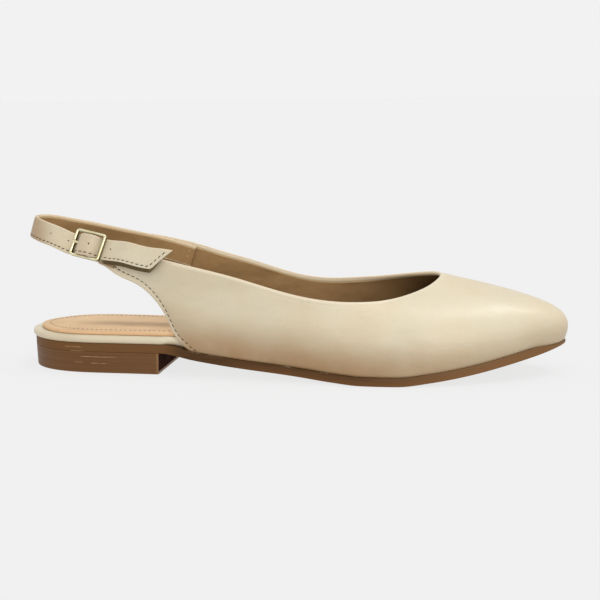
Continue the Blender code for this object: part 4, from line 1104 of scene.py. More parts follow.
def build_upper():
    """Vamp and both quarters in one hollow shell of leather and lining, open at throat and heel."""
    count = int(RIB_RUN / UPPER_STEP)
    knots = np.linspace(0, RIB_RUN, count)
    shares = np.linspace(0, 1, OUTER_ROWS)
    outer = upper_points(knots, shares)
    along = np.gradient(outer, axis=0)
    up = np.gradient(outer, axis=1)
    normal = unit(np.cross(along, up))
    along, up = unit(along), unit(up)
    steps = np.linalg.norm(np.diff(outer, axis=1), axis=2)
    from_foot = np.concatenate([np.zeros((count, 1)), np.cumsum(steps, axis=1)], axis=1)
    from_top = from_foot[:, -1:] - from_foot
    half = UPPER_WALL / 2
    middle = outer - normal * half
    relief = upper_relief(outer, from_top, from_foot, knots)

    def section(row, thin, shift):
        """Closed ring: outer face, rolled top, inner face, rolled foot. thin squeezes it at the ends."""
        mid = middle[row] - along[row] * shift
        lift = half * thin
        face = mid + normal[row] * (lift + relief[row] * thin)[:, None]
        back = mid - normal[row] * lift
        top = [mid[-1] + (normal[row, -1] * math.cos(a) + up[row, -1] * math.sin(a)) * lift for a in ROLL]
        foot = [mid[0] - (normal[row, 0] * math.cos(a) + up[row, 0] * math.sin(a)) * lift for a in ROLL]
        return np.concatenate([face, top, back[::-1], foot])

    rings = [section(0, math.cos(a), half * math.sin(a)) for a in END_TURNS]
    rings += [section(row, 1.0, 0.0) for row in range(count)]
    rings += [section(count - 1, math.cos(a), -half * math.sin(a)) for a in END_TURNS[::-1]]
    size = len(rings[0])
    faces = ring_faces(len(rings), size)

    ends, rolls = len(END_TURNS), len(ROLL)
    rows = np.concatenate([[0] * ends, np.arange(count), [count - 1] * ends])
    order = np.concatenate([
        np.arange(OUTER_ROWS), [OUTER_ROWS - 1] * rolls, np.arange(OUTER_ROWS)[::-1], [0] * rolls])
    top_gap = from_top[rows][:, order]
    foot_gap = from_foot[rows][:, order]
    spots = outer[rows][:, order]
    from_end = np.minimum(knots, RIB_RUN - knots)[rows, None]
    at_foot_edge = 1 - ease(
        OUTER_CORNER - REAR_EDGE_FADE_START, OUTER_CORNER - REAR_EDGE_FADE_END, from_end)
    inside = np.zeros(size, bool)
    inside[OUTER_ROWS + rolls:2 * OUTER_ROWS + rolls] = True

    # Painted shade and burnish on the upper over the sole, paler along the rear edge's stitches
    toeward = ease(*SHADE_BURNISH_CHANGE, spots[..., 0])
    reach = blend(SHADE_BURNISH_WAIST_REACH, SHADE_BURNISH_TOE_REACH, toeward)
    height = spots[..., 2] - sole_top(spots[..., 0])
    low = 1 - ease(-0.002, 1.0, height / reach)
    at_stitches = at_foot_edge * bump(foot_gap, 0.0, EDGE_STITCH)
    burnish = low * blend(SHADE_BURNISH_WAIST, SHADE_BURNISH_TOE, toeward) * (1 - STITCH_PALER * at_stitches)
    # Painted shade at the end of the outer tab, under the buckle
    burnish = burnish + TAB_SHADE * (1 - ease(0.0, TAB_SHADE_RUN, from_end)) * (spots[..., 1] < 0)
    edge = TOP_EDGE * bump(top_gap, 0.0, TOP_EDGE_WIDTH)
    edge = edge + REAR_EDGE * at_foot_edge * bump(foot_gap, REAR_EDGE_PLACE, REAR_EDGE_WIDTH)
    # Painted shade in the lining, deep in the toe and below the topline
    depth = ease(*LINING_SHADE_ALONG, spots[..., 0]) * ease(*LINING_SHADE_DOWN, top_gap)
    depth = np.where(inside[None, :], depth, 0)
    edge = np.where(inside[None, :], 1 - ease(FOLD_WIDTH, FOLD_WIDTH + FOLD_SOFTNESS, top_gap), edge)

    gap_of_face = (top_gap[:-1] + top_gap[1:]) / 2
    lined = (inside & np.roll(inside, -1))[None, :] & (gap_of_face > 0.0002)
    rolled = np.zeros(size)
    rolled[OUTER_ROWS:OUTER_ROWS + rolls] = ROLLED_TAN
    folded = np.broadcast_to(rolled, edge.shape)
    attributes = {"burnish": burnish, "edge": edge, "depth": depth, "folded": folded}
    upper = add_mesh("upper_leather", np.concatenate(rings), faces, [cream, lining],
                     lined.astype(int).ravel(), attributes, merge=1e-6)
    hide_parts("upper")


# Sling strap

STRAP_FINE = 0.00035
STRAP_COARSE = 0.0009
FACE_POINTS = 26
STRAP_ROLL = np.radians([22.5, 45, 67.5])
STRAP_END_TURNS = np.radians([25, 50, 72, 90])

# Section of the strap: the crown of its face, the dip of its stitches and of the seam opposite, and the
# fold behind its upper edge
FACE_CROWN = 0.00010
STRAP_STITCH_DIP, STRAP_STITCH_WIDTH = 0.00016, 0.00040
UPPER_SEAM_DIP, UPPER_SEAM_WIDTH = 0.00005, 0.00050
BACK_FOLD = 0.00008
STRAP_WAVE_RISE, STRAP_WAVE_SIZE = 0.00005, 0.013

# Colour of the strap: painted shade where it turns away at the back of the heel and under the bars in the
# frame, its raw lower edge in front of the buckle, near black to paint the shadow under it too, and its
# folded upper edge
BACK_SHADE, BACK_SHADE_ALONG = 0.85, (0.004, 0.020)
FRAME_SHADE = 0.36
# Raw lower edge, darkened to paint the shadow under the strap too: strength and where it fades upward
RAW_SHADOW_STRENGTH, RAW_SHADOW_UP = 0.97, (0.0005, 0.0011)
RAW_TIP = 0.9
FOLDED_STRENGTH, EDGE_STRENGTH, UPPER_EDGE_WIDTH = 0.85, 0.5, 0.0006


def strap_profile():
    """Heights and outward offsets round the strap's section, which starts on its outer face."""
    half = STRAP_WIDTH / 2
    thick = STRAP_THICKNESS / 2
    corner = STRAP_THICKNESS * 0.38
    heights = np.linspace(-half + corner, half - corner, FACE_POINTS)
    face = FACE_CROWN * (1 - (heights / half) ** 2)
    face = face - STRAP_STITCH_DIP * bump(heights, -half + STRAP_STITCH, STRAP_STITCH_WIDTH)
    face = face - UPPER_SEAM_DIP * bump(heights, half - STRAP_STITCH, UPPER_SEAM_WIDTH)
    back = np.where(heights > half - STRAP_STITCH, BACK_FOLD, 0.0)
    high = [(half - corner + corner * math.sin(a), thick - corner + corner * math.cos(a))
            for a in STRAP_ROLL]
    low = [(-h, o) for h, o in high]
    ring = list(zip(heights, thick + face))
    ring += high + [(half, 0.0)] + [(h, -o) for h, o in high[::-1]]
    ring += list(zip(heights[::-1], (-thick - back)[::-1]))
    ring += [(h, -o) for h, o in low] + [(-half, 0.0)] + low[::-1]
    return np.array(ring)


TIP_START = STRAP_RUN - 2.6 * TIP_SLANT


def strap_surface(runs, heights, outs):
    """Points of the strap. Arrays of one shape: distance along, height across, offset outward."""
    runs = np.asarray(runs, float)
    back = TIP_SLANT * ease(TIP_START, STRAP_RUN, runs) * (STRAP_WIDTH / 2 - heights) / STRAP_WIDTH
    middle, forward, up, out = strap_frames((runs - back).ravel())
    shape = runs.shape + (3,)
    middle, forward, up, out = (row.reshape(shape) for row in (middle, forward, up, out))
    return middle + up * np.asarray(heights)[..., None] + out * np.asarray(outs)[..., None], forward, out


def build_strap():
    """Strap from its lap inside the inner quarter round the heel and through the buckle."""
    profile = strap_profile()
    runs = [0.0]
    while runs[-1] < STRAP_RUN - STRAP_FINE:
        fine = abs(runs[-1] - BUCKLE_RUN) < FRAME_LENGTH * 0.65 or runs[-1] > TIP_START
        runs.append(runs[-1] + (STRAP_FINE if fine else STRAP_COARSE))
    runs[-1] = STRAP_RUN
    thick = STRAP_THICKNESS / 2
    places = [(0.0, math.cos(a), -thick * math.sin(a)) for a in STRAP_END_TURNS[::-1]]
    places += [(run, 1.0, 0.0) for run in runs]
    places += [(STRAP_RUN, math.cos(a), thick * math.sin(a)) for a in STRAP_END_TURNS]
    along = np.array([run for run, _, _ in places])[:, None]
    thin = np.array([share for _, share, _ in places])[:, None]
    shift = np.array([move for _, _, move in places])[:, None, None]
    size = len(profile)
    heights = np.broadcast_to(profile[:, 0], (len(places), size))
    outs = profile[:, 1] * thin
    points, forward, out = strap_surface(np.broadcast_to(along, heights.shape), heights, outs)
    up = np.cross(out, forward)
    points = points + forward * shift
    wave = ripple(points, STRAP_WAVE_SIZE, 3)[..., None] * STRAP_WAVE_RISE
    points = points + out * wave * thin[..., None]
    past_buckle = ease(BUCKLE_RUN + FRAME_LENGTH * 0.42, BUCKLE_RUN + FRAME_LENGTH * 0.70, along)
    backing = np.where(outs < STRAP_THICKNESS * 0.05, ease(0.0, -STRAP_WIDTH / 2, heights), 0) * past_buckle
    points = points - up * (BACKING_DROP * backing)[..., None]
    faces = ring_faces(len(places), size)
    inner = np.zeros(size, bool)
    inner_start = FACE_POINTS + 2 * len(STRAP_ROLL) + 1
    inner[inner_start:inner_start + FACE_POINTS] = True
    lined = inner & np.roll(inner, -1)
    back_faces = np.broadcast_to(lined, (len(places) - 1, size)).astype(int)
    high = STRAP_WIDTH / 2 - heights
    at_top = bump(high, 0.0, UPPER_EDGE_WIDTH)
    behind = outs < -STRAP_THICKNESS * 0.2
    fold = np.where(behind, 1 - ease(STRAP_STITCH, STRAP_STITCH + FOLD_SOFTNESS, high),
                    EDGE_STRENGTH * at_top)
    # Painted shade where the strap turns away round the back of the heel and where it bends under the bars
    turned = 1 - ease(*BACK_SHADE_ALONG, points[..., 0])
    framed = bump(along - BUCKLE_RUN, 0.0, FRAME_LENGTH * 0.62) + 0 * heights
    low = heights + STRAP_WIDTH / 2
    # Raw lower edge past the buckle, near black as it also paints the shadow under the strap
    raw_and_shadow = np.where(outs < STRAP_THICKNESS * 0.42, 1 - ease(*RAW_SHADOW_UP, low), 0)
    raw_and_shadow = RAW_SHADOW_STRENGTH * raw_and_shadow * past_buckle
    raw_and_shadow = np.where((along >= STRAP_RUN) & (outs < STRAP_THICKNESS * 0.2), RAW_TIP, raw_and_shadow)
    folded = np.where(outs < STRAP_THICKNESS * 0.40, FOLDED_STRENGTH * at_top, 0)
    burnish = BACK_SHADE * turned + FRAME_SHADE * framed
    attributes = {"burnish": burnish, "edge": fold, "raw_and_shadow": raw_and_shadow, "folded": folded}
    strap = add_mesh("sling_strap_leather", points.reshape(-1, 3), faces, [cream, lining],
                     back_faces.ravel(), attributes, merge=1e-6, sharp=60)
    for pitches in HOLE_PLACES:
        punch_hole(strap, BUCKLE_RUN + pitches * HOLE_PITCH)
    middle = PRONG_SLOT.middle * FRAME_LENGTH
    slot = block(PRONG_SLOT.length * FRAME_LENGTH, PRONG_WIDTH + 2 * METAL_GAP,
                 PRONG_THICKNESS + 2 * METAL_GAP)
    carve(strap, slot, at_buckle(middle, prong_height(middle)), BUCKLE_ALONG, BUCKLE_UP, BUCKLE_OUT)
    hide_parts("sling_strap")


def block(length, width, depth):
    """Box about the origin."""
    bpy.ops.mesh.primitive_cube_add(size=1)
    box = bpy.context.object
    box.data.transform(Matrix.Diagonal((length, width, depth, 1)))
    return box


def punch_hole(strap, run):
    """Round hole through the strap at a distance along it."""
    middle, forward, up, out = (row[0] for row in strap_frames(run))
    bpy.ops.mesh.primitive_cylinder_add(vertices=24, radius=HOLE_DIAMETER / 2, depth=STRAP_THICKNESS * 2.5)
    carve(strap, bpy.context.object, middle + up * HOLE_ABOVE_MIDDLE, forward, up, out)


def carve(obj, cutter, point, forward, up, outward):
    """Cuts a helper out of a finished piece and removes the helper."""
    cutter.data.transform(placed(forward, up, outward, point - MIDDLE))
    boolean = obj.modifiers.new("cut", "BOOLEAN")
    boolean.operation = "DIFFERENCE"
    boolean.object = cutter
    boolean.solver = "EXACT"
    applied(obj, boolean)
    bpy.data.objects.remove(cutter, do_unlink=True)


# Sole, heel and insole

# Places along the shoe where the top of the sole's edge is flecked
FLECKS = (0.0905, 0.1000, 0.1360, 0.1535)
FLECK_WIDTH = 0.0016

# Where the sole's colours change along the shoe: past the heel, to the paler toe, its rim and the painted
# shadow along its seam
HEEL_FADE = 0.012
TOE_FADE, RIM_FADE, SEAM_SHADOW_FADE = (0.150, 0.235), (0.085, 0.130), (0.080, 0.095)

# Wear at the heel's front corner, and the streak and its fork on the sock: place and width across, as
# shares of the half width, strength, and where they grow and fade along the shoe
CORNER_WEAR, CORNER_WEAR_WIDTH = 0.5, 0.0006
Streak = namedtuple("Streak", "place width strength grow fade")
SOCK_STREAKS = (
    Streak(-0.18, 0.20, 0.62, (0.012, 0.055), (0.080, 0.12)),
    Streak(-0.40, 0.10, 0.25, (0.045, 0.055), (0.070, 0.080)),
)
# Painted shade on the sock under the vamp: where it grows along the shoe
SOCK_SHADE_ALONG = (0.100, 0.180)

# Rounding of the edges of the outsole, the heel block and the top lift
SOLE_ROUND, BREAST_ROUND = 0.0004, 0.00003
BLOCK_ROUND, LIFT_ROUND, HEEL_TOP_ROUND = 0.00006, 0.00035, 0.00004
# Roundness of the edges of the board and of the sock as shares of their thickness, and the sock's dome
RIM_ROUNDNESS, SOCK_ROUNDNESS = 0.47, 0.45
SOCK_DOME, SOCK_DOME_START, SOCK_DOME_FADE = 0.0006, 0.02, (0.06, 0.12)
SOCK_EDGE_WIDTH, SOCK_EDGE_STRENGTH, SOCK_SIDE_STRENGTH = 0.10, 0.7, 0.8
# Row of stitches round the heel pad: how far in from the sock's edge, and its front end
PAD_STITCH_INSET = 0.0040
PAD_STITCH_END = 0.076


def places_along(start, end, count):
    """Places between two ends, closer together near both."""
    return start + (end - start) * (1 - np.cos(np.linspace(0, math.pi, count))) / 2


def slab(name, layers, materials, attribute, columns=14, count=150, front=None, sharp=60):
    """Plate inside the outline. Each layer has an inset and a height of (x, y); the first and the last
    are closed across with rows of faces. front ends the plate in a straight breast, which takes the
    second material."""
    rings = []
    for inset, height in layers:
        rear, tip, outer, inner = edges(inset)
        if front is not None:
            xs = rear + (front - inset - rear) * np.linspace(0, 1, count) ** 2
        else:
            xs = places_along(rear, tip, count)
        y_outer, y_inner = outer(xs), inner(xs)
        y_outer[0] = y_inner[0] = (y_outer[0] + y_inner[0]) / 2
        if front is None:
            y_outer[-1] = y_inner[-1] = (y_outer[-1] + y_inner[-1]) / 2
        x = np.concatenate([xs, xs[::-1]])
        y = np.concatenate([y_outer, y_inner[::-1]])
        rings.append(np.column_stack([x, y, height(x, y)]))
    size = 2 * count
    faces = ring_faces(len(rings), size).tolist()
    points = list(np.concatenate(rings))
    layer_of = list(np.repeat(np.linspace(0, 1, len(layers)), size))
    for ring_index in (0, len(rings) - 1):
        base = ring_index * size
        height = layers[ring_index][1]
        grid = np.zeros((count, columns + 1), int)
        grid[:, 0] = base + np.arange(count)
        grid[:, -1] = base + size - 1 - np.arange(count)
        for column in range(1, columns):
            share = column / columns
            pair = np.array([points[i] for i in grid[:, 0]]) * (1 - share) + np.array(
                [points[i] for i in grid[:, -1]]) * share
            pair[:, 2] = height(pair[:, 0], pair[:, 1])
            grid[:, column] = len(points) + np.arange(count)
            points += list(pair)
            layer_of += [layer_of[base]] * count
        for i in range(count - 1):
            for j in range(columns):
                faces.append([grid[i, j], grid[i, j + 1], grid[i + 1, j + 1], grid[i + 1, j]])
    points = np.array(points)
    extra = attribute(points, np.array(layer_of))
    in_front = None
    if len(materials) > 1:
        in_front = [int(min(points[i][0] for i in face) > front - 0.0003 - HEEL_INSET) for face in faces]
    return add_mesh(name, points, faces, materials, in_front, extra, merge=4e-6, sharp=sharp)


def edge_profile(low, high, radius, low_radius=None, steps=4):
    """Layers of a rounded edge between two height functions. A radius is a function of x."""
    low_radius = low_radius or radius
    layers = []
    for a in np.linspace(0, math.pi / 2, steps):
        layers.append((1 - math.sin(a), 1 - math.cos(a), low, low_radius))
    for a in np.linspace(math.pi / 2, 0, steps):
        layers.append((1 - math.sin(a), math.cos(a) - 1, high, radius))
    return [
        (size(EDGE_POINTS[:, 0]) * inward, lambda x, y, rise=rise, face=face, size=size: (
            face(x) + size(x) * rise))
        for inward, rise, face, size in layers
    ]


def tucked(edge_inset, inside_inset):
    """Inset for each sample of the outline: small round the open heel, larger inside the upper."""
    end = rib_feet[RIB_NAMES.index("outer_edge_base")][0] - TUCK_CLEARANCE
    return blend(edge_inset, inside_inset, ease(end - TUCK_RUN, end, EDGE_POINTS[:, 0]))


def build_sole():
    """Outsole of the full length, its edge rounded and set in under the open heel."""
    tuck = TOE_TUCK * ease(SHOE_LENGTH - TOE_TUCK_RUN, SHOE_LENGTH, EDGE_POINTS[:, 0])
    base = tucked(HEEL_INSET, 0.0) + tuck

    def top_radius(x):
        return np.full_like(x, SOLE_ROUND)

    def low_radius(x):
        return blend(BREAST_ROUND, SOLE_ROUND, ease(BREAST, BREAST + 0.006, x))

    layers = edge_profile(tread_height, sole_top, top_radius, low_radius)
    layers = [(base + inset, height) for inset, height in layers]

    def marks(points, layer):
        x = points[:, 0]
        side = (layer > 0) & (layer < 1)
        flecks = sum(bump(x, place, FLECK_WIDTH) for place in FLECKS)
        return {
            "heel": 1 - ease(BREAST, BREAST + HEEL_FADE, x),
            "toe": ease(*TOE_FADE, x),
            "rim": np.where(side, bump(layer, 0.25, 0.20), 0) * ease(*RIM_FADE, x),
            # painted shadow along the top of the edge, under the upper
            "seam": np.where(side, bump(layer, 0.95, 0.12), 0) * ease(*SEAM_SHADOW_FADE, x),
            "fleck": np.where(side, bump(layer, 0.88, 0.10), 0) * flecks,
            "tread": (layer <= 0).astype(float),
        }

    outsole = slab("outsole_leather", layers, [sole_brown], marks)
    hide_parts("outsole")


def build_heel_layer(name, low, high, soft):
    """Layer of the stacked heel, tapering a little towards the floor, its lower edge rounded by soft."""
    def inset(height):
        return HEEL_INSET + HEEL_TAPER * (1 - height / HEEL_HEIGHT)

    layers = []
    for share in (0.0, 0.35, 1.0):
        layers.append((inset(low) + soft * (1 - share) ** 2, low + soft * share ** 2))
    for share in (0.3, 0.6):
        layers.append((inset(blend(low, high, share)), blend(low, high, share)))
    layers += [(inset(high), high - HEEL_TOP_ROUND), (inset(high) + HEEL_TOP_ROUND, high)]
    layers = [(space, lambda x, y, z=z: np.minimum(z, tread_height(x) - SEAM)) for space, z in layers]

    def marks(points, layer):
        return {"worn": CORNER_WEAR * bump(points[:, 0], BREAST - HEEL_INSET, CORNER_WEAR_WIDTH)}

    layer = slab(name + "_leather", layers, [stack_brown, breast_shade], marks, columns=10,
                 count=90, front=BREAST, sharp=35)
    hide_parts(name)


def build_insole():
    """Board wrapped in cream leather and the tan sock on it. Returns what the pad stitches lie on."""
    inside = FEATHER_INSET + UPPER_WALL + GAP

    def board_low(x):
        return sole_top(x) + SEAM

    def board_high(x):
        return sole_top(x) + GAP + BOARD_THICKNESS

    def rim_radius(x):
        return np.full_like(x, BOARD_THICKNESS * RIM_ROUNDNESS)

    layers = edge_profile(board_low, board_high, rim_radius, steps=7)
    layers = [(tucked(BOARD_INSET, inside) + inset, height) for inset, height in layers]

    # Painted shade on the rim's lower rounding and a painted highlight along its upper rounding
    def rim_shade_and_highlight(points, layer):
        return {"burnish": 0.22 * bump(layer, 0.15, 0.22), "edge": 0.25 * bump(layer, 0.7, 0.25)}

    rim = slab("insole_rim_leather", layers, [cream], rim_shade_and_highlight)
    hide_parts("insole_rim")

    margin = blend(SOCK_INSET_BACK, SOCK_INSET, ease(-0.002, 0.026, EDGE_POINTS[:, 0]))
    base = tucked(BOARD_INSET, inside) + margin
    rear, _, outer, inner = edges(base)

    def across(x, y):
        """-1 at the outer edge of the sock, 1 at the inner edge."""
        return (y - (inner(x) + outer(x)) / 2) / np.maximum((inner(x) - outer(x)) / 2, 1e-4)

    def dome(x, y):
        ends = np.sqrt(np.clip((x - rear) / SOCK_DOME_START, 0, 1))
        crown = SOCK_DOME * (1 - np.clip(across(x, y), -1, 1) ** 2)
        return crown * ends * (1 - ease(*SOCK_DOME_FADE, x))

    def sock_low(x):
        return board_high(x) + SEAM

    def sock_high(x):
        return board_high(x) + GAP + SOCK_THICKNESS

    def sock_radius(x):
        return np.full_like(x, SOCK_THICKNESS * SOCK_ROUNDNESS)

    layers = edge_profile(sock_low, sock_high, sock_radius)
    top = len(layers) // 2
    layers = [
        (base + inset, height if i < top else (lambda x, y, h=height: h(x, y) + dome(x, y)))
        for i, (inset, height) in enumerate(layers)
    ]

    def marks(points, layer):
        x = points[:, 0]
        off = across(x, points[:, 1])
        streaks = sum(
            row.strength * bump(off, row.place, row.width) * ease(*row.grow, x) * (1 - ease(*row.fade, x))
            for row in SOCK_STREAKS)
        return {
            "streak": np.where(layer > 0.5, np.clip(streaks, 0, 1), 0),
            "edge": np.where(layer > 0.5, SOCK_EDGE_STRENGTH * bump(np.abs(off), 1.0, SOCK_EDGE_WIDTH),
                             SOCK_SIDE_STRENGTH),
            # painted shade towards the toe, under the vamp
            "depth": ease(*SOCK_SHADE_ALONG, x),
        }

    sock = slab("insole_sock", layers, [sock_tan], marks, columns=24)
    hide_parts("insole")
    return dome, sock_high, base


# Buckle

FRAME_CORNER = 0.0011
NOTCH_REACH = 0.0006
# Strength of the painted shade and dark reflection on the frame's sides
SIDE_SHADE_STRENGTH = 0.85
# Painted shade over the loop, which lies under the strap and the frame
LOOP_SHADE = 0.9
# Place where the loop's leather bends down behind the strap, as a share of the frame's inner half
LOOP_KNEE = 0.86

# Shares of the prong's section at its eye and over its last points
PRONG_EYE_TAPER = (0.7, 0.92)
PRONG_TIP_TAPER = (0.97, 0.92, 0.85, 0.74, 0.58, 0.34)


def rounded(width, depth, power=4.0, count=16):
    """Section of a bar: a rounded rectangle about the origin."""
    angles = np.linspace(0, 2 * math.pi, count, endpoint=False)
    c, s = np.cos(angles), np.sin(angles)
    return np.column_stack([
        np.sign(c) * np.abs(c) ** (2 / power) * width / 2,
        np.sign(s) * np.abs(s) ** (2 / power) * depth / 2,
    ])


def build_frame():
    """Square frame with rounded corners and a notch for the prong, and its centre bar."""
    length, width = FRAME_LENGTH - BAR_WIDTH, FRAME_WIDTH - BAR_WIDTH
    corners = ((1, 1), (-1, 1), (-1, -1), (1, -1))

    def on_corner(index, turn):
        sx, sy = corners[index % 4]
        return (sx * (length / 2 - FRAME_CORNER) + FRAME_CORNER * math.cos(turn),
                sy * (width / 2 - FRAME_CORNER) + FRAME_CORNER * math.sin(turn), turn)

    path = []
    for quarter in range(4):
        path += [on_corner(quarter, a + quarter * math.pi / 2) for a in np.linspace(0, math.pi / 2, 7)]
        start, goal = np.array(path[-1]), np.array(on_corner(quarter + 1, path[-1][2]))
        path += [blend(start, goal, share) for share in np.linspace(0, 1, 26)[1:-1]]
    section = rounded(BAR_WIDTH, FRAME_DEPTH, 3.6)
    sides = 1 - ease(FRAME_DEPTH * 0.25, FRAME_DEPTH * 0.46, section[:, 1])
    rings = []
    for along, up, turn in path:
        ring = []
        for side, out in section:
            x = along + math.cos(turn) * side
            y = up + math.sin(turn) * side
            if out > 0 and along < -length / 2 + NOTCH_REACH:
                out -= min(out, NOTCH_DEPTH) * math.exp(-(abs(y) / (PRONG_WIDTH / 2 + METAL_GAP)) ** 4)
            ring.append(at_buckle(x, out, y))
        rings.append(ring)
    rings.append(rings[0])
    # Painted shade and dark reflection on the bars' sides and back, all but their outer face
    side_shade = np.tile(SIDE_SHADE_STRENGTH * sides, len(rings))
    metal = add_mesh("buckle_frame_metal", np.concatenate(rings), ring_faces(len(rings), len(section)),
                     [gold], attributes={"side_shade": side_shade}, merge=1e-6, sharp=60)
    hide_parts("buckle_frame")
    circle = rounded(2 * CENTRE_BAR_RADIUS, 2 * CENTRE_BAR_RADIUS, 2.0, 14)
    rings = [[at_buckle(a, b, up) for a, b in circle] for up in np.linspace(-width / 2, width / 2, 8)]
    faces = ring_faces(8, 14).tolist() + [list(range(14)), list(range(7 * 14, 8 * 14))]
    add_mesh("buckle_centre_bar", np.concatenate(rings), faces, [gold])


def swept(name, path, ups, section, material, tapers=None, attributes=None):
    """Closed bar along a path in space. ups are the section's second direction."""
    path, ups = np.asarray(path), unit(np.asarray(ups))
    forward = unit(np.gradient(path, axis=0))
    ups = unit(ups - forward * (ups * forward).sum(-1, keepdims=True))
    sides = np.cross(forward, ups)
    tapers = np.ones(len(path)) if tapers is None else tapers
    rings = [
        point + up * section[:, :1] * taper + side * section[:, 1:] * taper
        for point, up, side, taper in zip(path, ups, sides, tapers)
    ]
    size = len(section)
    faces = ring_faces(len(rings), size).tolist()
    faces += [list(range(size)), list(range((len(rings) - 1) * size, len(rings) * size))]
    points = np.concatenate(rings)
    extra = attributes(points) if attributes else None
    return add_mesh(name, points, faces, [material], attributes=extra, sharp=60)


def build_prong():
    """Prong hooked round the centre bar, rising to the rear bar."""
    hook = np.radians(np.linspace(-165, 90, 40))
    path = [(PRONG_EYE_RADIUS * math.cos(a), PRONG_EYE_RADIUS * math.sin(a)) for a in hook]
    tip = -FRAME_LENGTH / 2 - PRONG_PAST_BAR
    path += [(along, float(prong_height(along))) for along in np.linspace(0, tip, 30)[1:]]
    tapers = np.ones(len(path))
    tapers[:len(PRONG_EYE_TAPER)] = PRONG_EYE_TAPER
    tapers[-len(PRONG_TIP_TAPER):] = PRONG_TIP_TAPER
    points = [at_buckle(along, out) for along, out in path]
    prong = swept("buckle_prong_metal", points, [BUCKLE_UP] * len(points),
                  rounded(PRONG_WIDTH, PRONG_THICKNESS, 2.6, 14), gold, tapers)
    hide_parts("buckle_prong")


def build_tab():
    """Leather loop folded round the centre bar and lapped on the outer quarter."""
    outside = GAP + TAB_THICKNESS / 2
    loop = CENTRE_BAR_RADIUS + METAL_GAP + TAB_LEATHER / 2
    lap_start = top_of(TAB_ROOT)[0]
    tail = []
    for along in np.linspace(lap_start + TAB_LAP, lap_start, 4):
        knot = knot_at_length(along / SHOE_LENGTH, "outer")
        tail.append(band_on_upper(knot, TAB_BELOW_TOPLINE, TAB_WIDTH, outside))
    knee = (FRAME_LENGTH / 2 - BAR_WIDTH) * LOOP_KNEE
    tail.append((at_buckle(knee, -UNDER_BAR - STRAP_THICKNESS / 2 - outside), BUCKLE_UP))
    half = TAB_LEATHER / 2 + FOLD_GAP / 2
    sheet = [[(middle + BUCKLE_OUT * half * side, up) for middle, up in tail] for side in (1, -1)]
    folds = np.radians(np.linspace(50, 290, 13))
    bend = [(at_buckle(loop * math.cos(a), loop * math.sin(a)), BUCKLE_UP) for a in folds]
    rows = sheet[0] + bend + sheet[1][::-1]
    points = np.array([point for point, _ in rows])
    knots = chord_knots(points)
    fine = np.linspace(0, knots[-1], 150)
    path, ups = cubic(knots, points)(fine), cubic(knots, [up for _, up in rows])(fine)
    section = rounded(TAB_WIDTH, TAB_LEATHER, 6.0, 28)
    # The loop takes painted shade all over, as it lies under the strap and the frame
    tab = swept("buckle_tab_leather", path, ups, section, cream,
                attributes=lambda spots: {"burnish": np.full(len(spots), LOOP_SHADE)})
    slot = block(TAB_SLOT.length * FRAME_LENGTH, PRONG_WIDTH + 2 * METAL_GAP, FRAME_DEPTH * 3)
    carve(tab, slot, at_buckle(TAB_SLOT.middle * FRAME_LENGTH, 0), BUCKLE_ALONG, BUCKLE_UP, BUCKLE_OUT)
    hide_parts("buckle_tab")


# Stitches

# pitch, length and width of the threads, how far they are lifted off the surface, and their slant
Thread = namedtuple("Thread", "pitch length width lift slant")
QUARTER_THREAD = Thread(0.0026, 0.0019, 0.00048, -0.00004, 0.10)
LAP_THREAD = Thread(0.0021, 0.0013, 0.00045, -0.00004, 0.0)
PAD_THREAD = Thread(0.0024, 0.0015, 0.00036, -0.00002, 0.0)

# Where the rows lie: depth in the quarter's channel, ends of the quarter rows, rows along the strap, over
# its tip and across its lap
CHANNEL_DEPTH = 0.00018
ROW_END, ROW_PAST_CORNER = 0.0012, 0.0022
STRAP_ROW_START, STRAP_ROW_STEP = 0.004, 0.0008
TIP_ROW_INSET, TIP_ROW_BELOW_TOP = 0.0016, 0.0022
TIP_ROW_LIFT, STRAP_ROW_LIFT = 0.00010, -0.00006
LAP_ROW_ALONG, LAP_ROW_BELOW_TOP = 0.0022, 0.0030


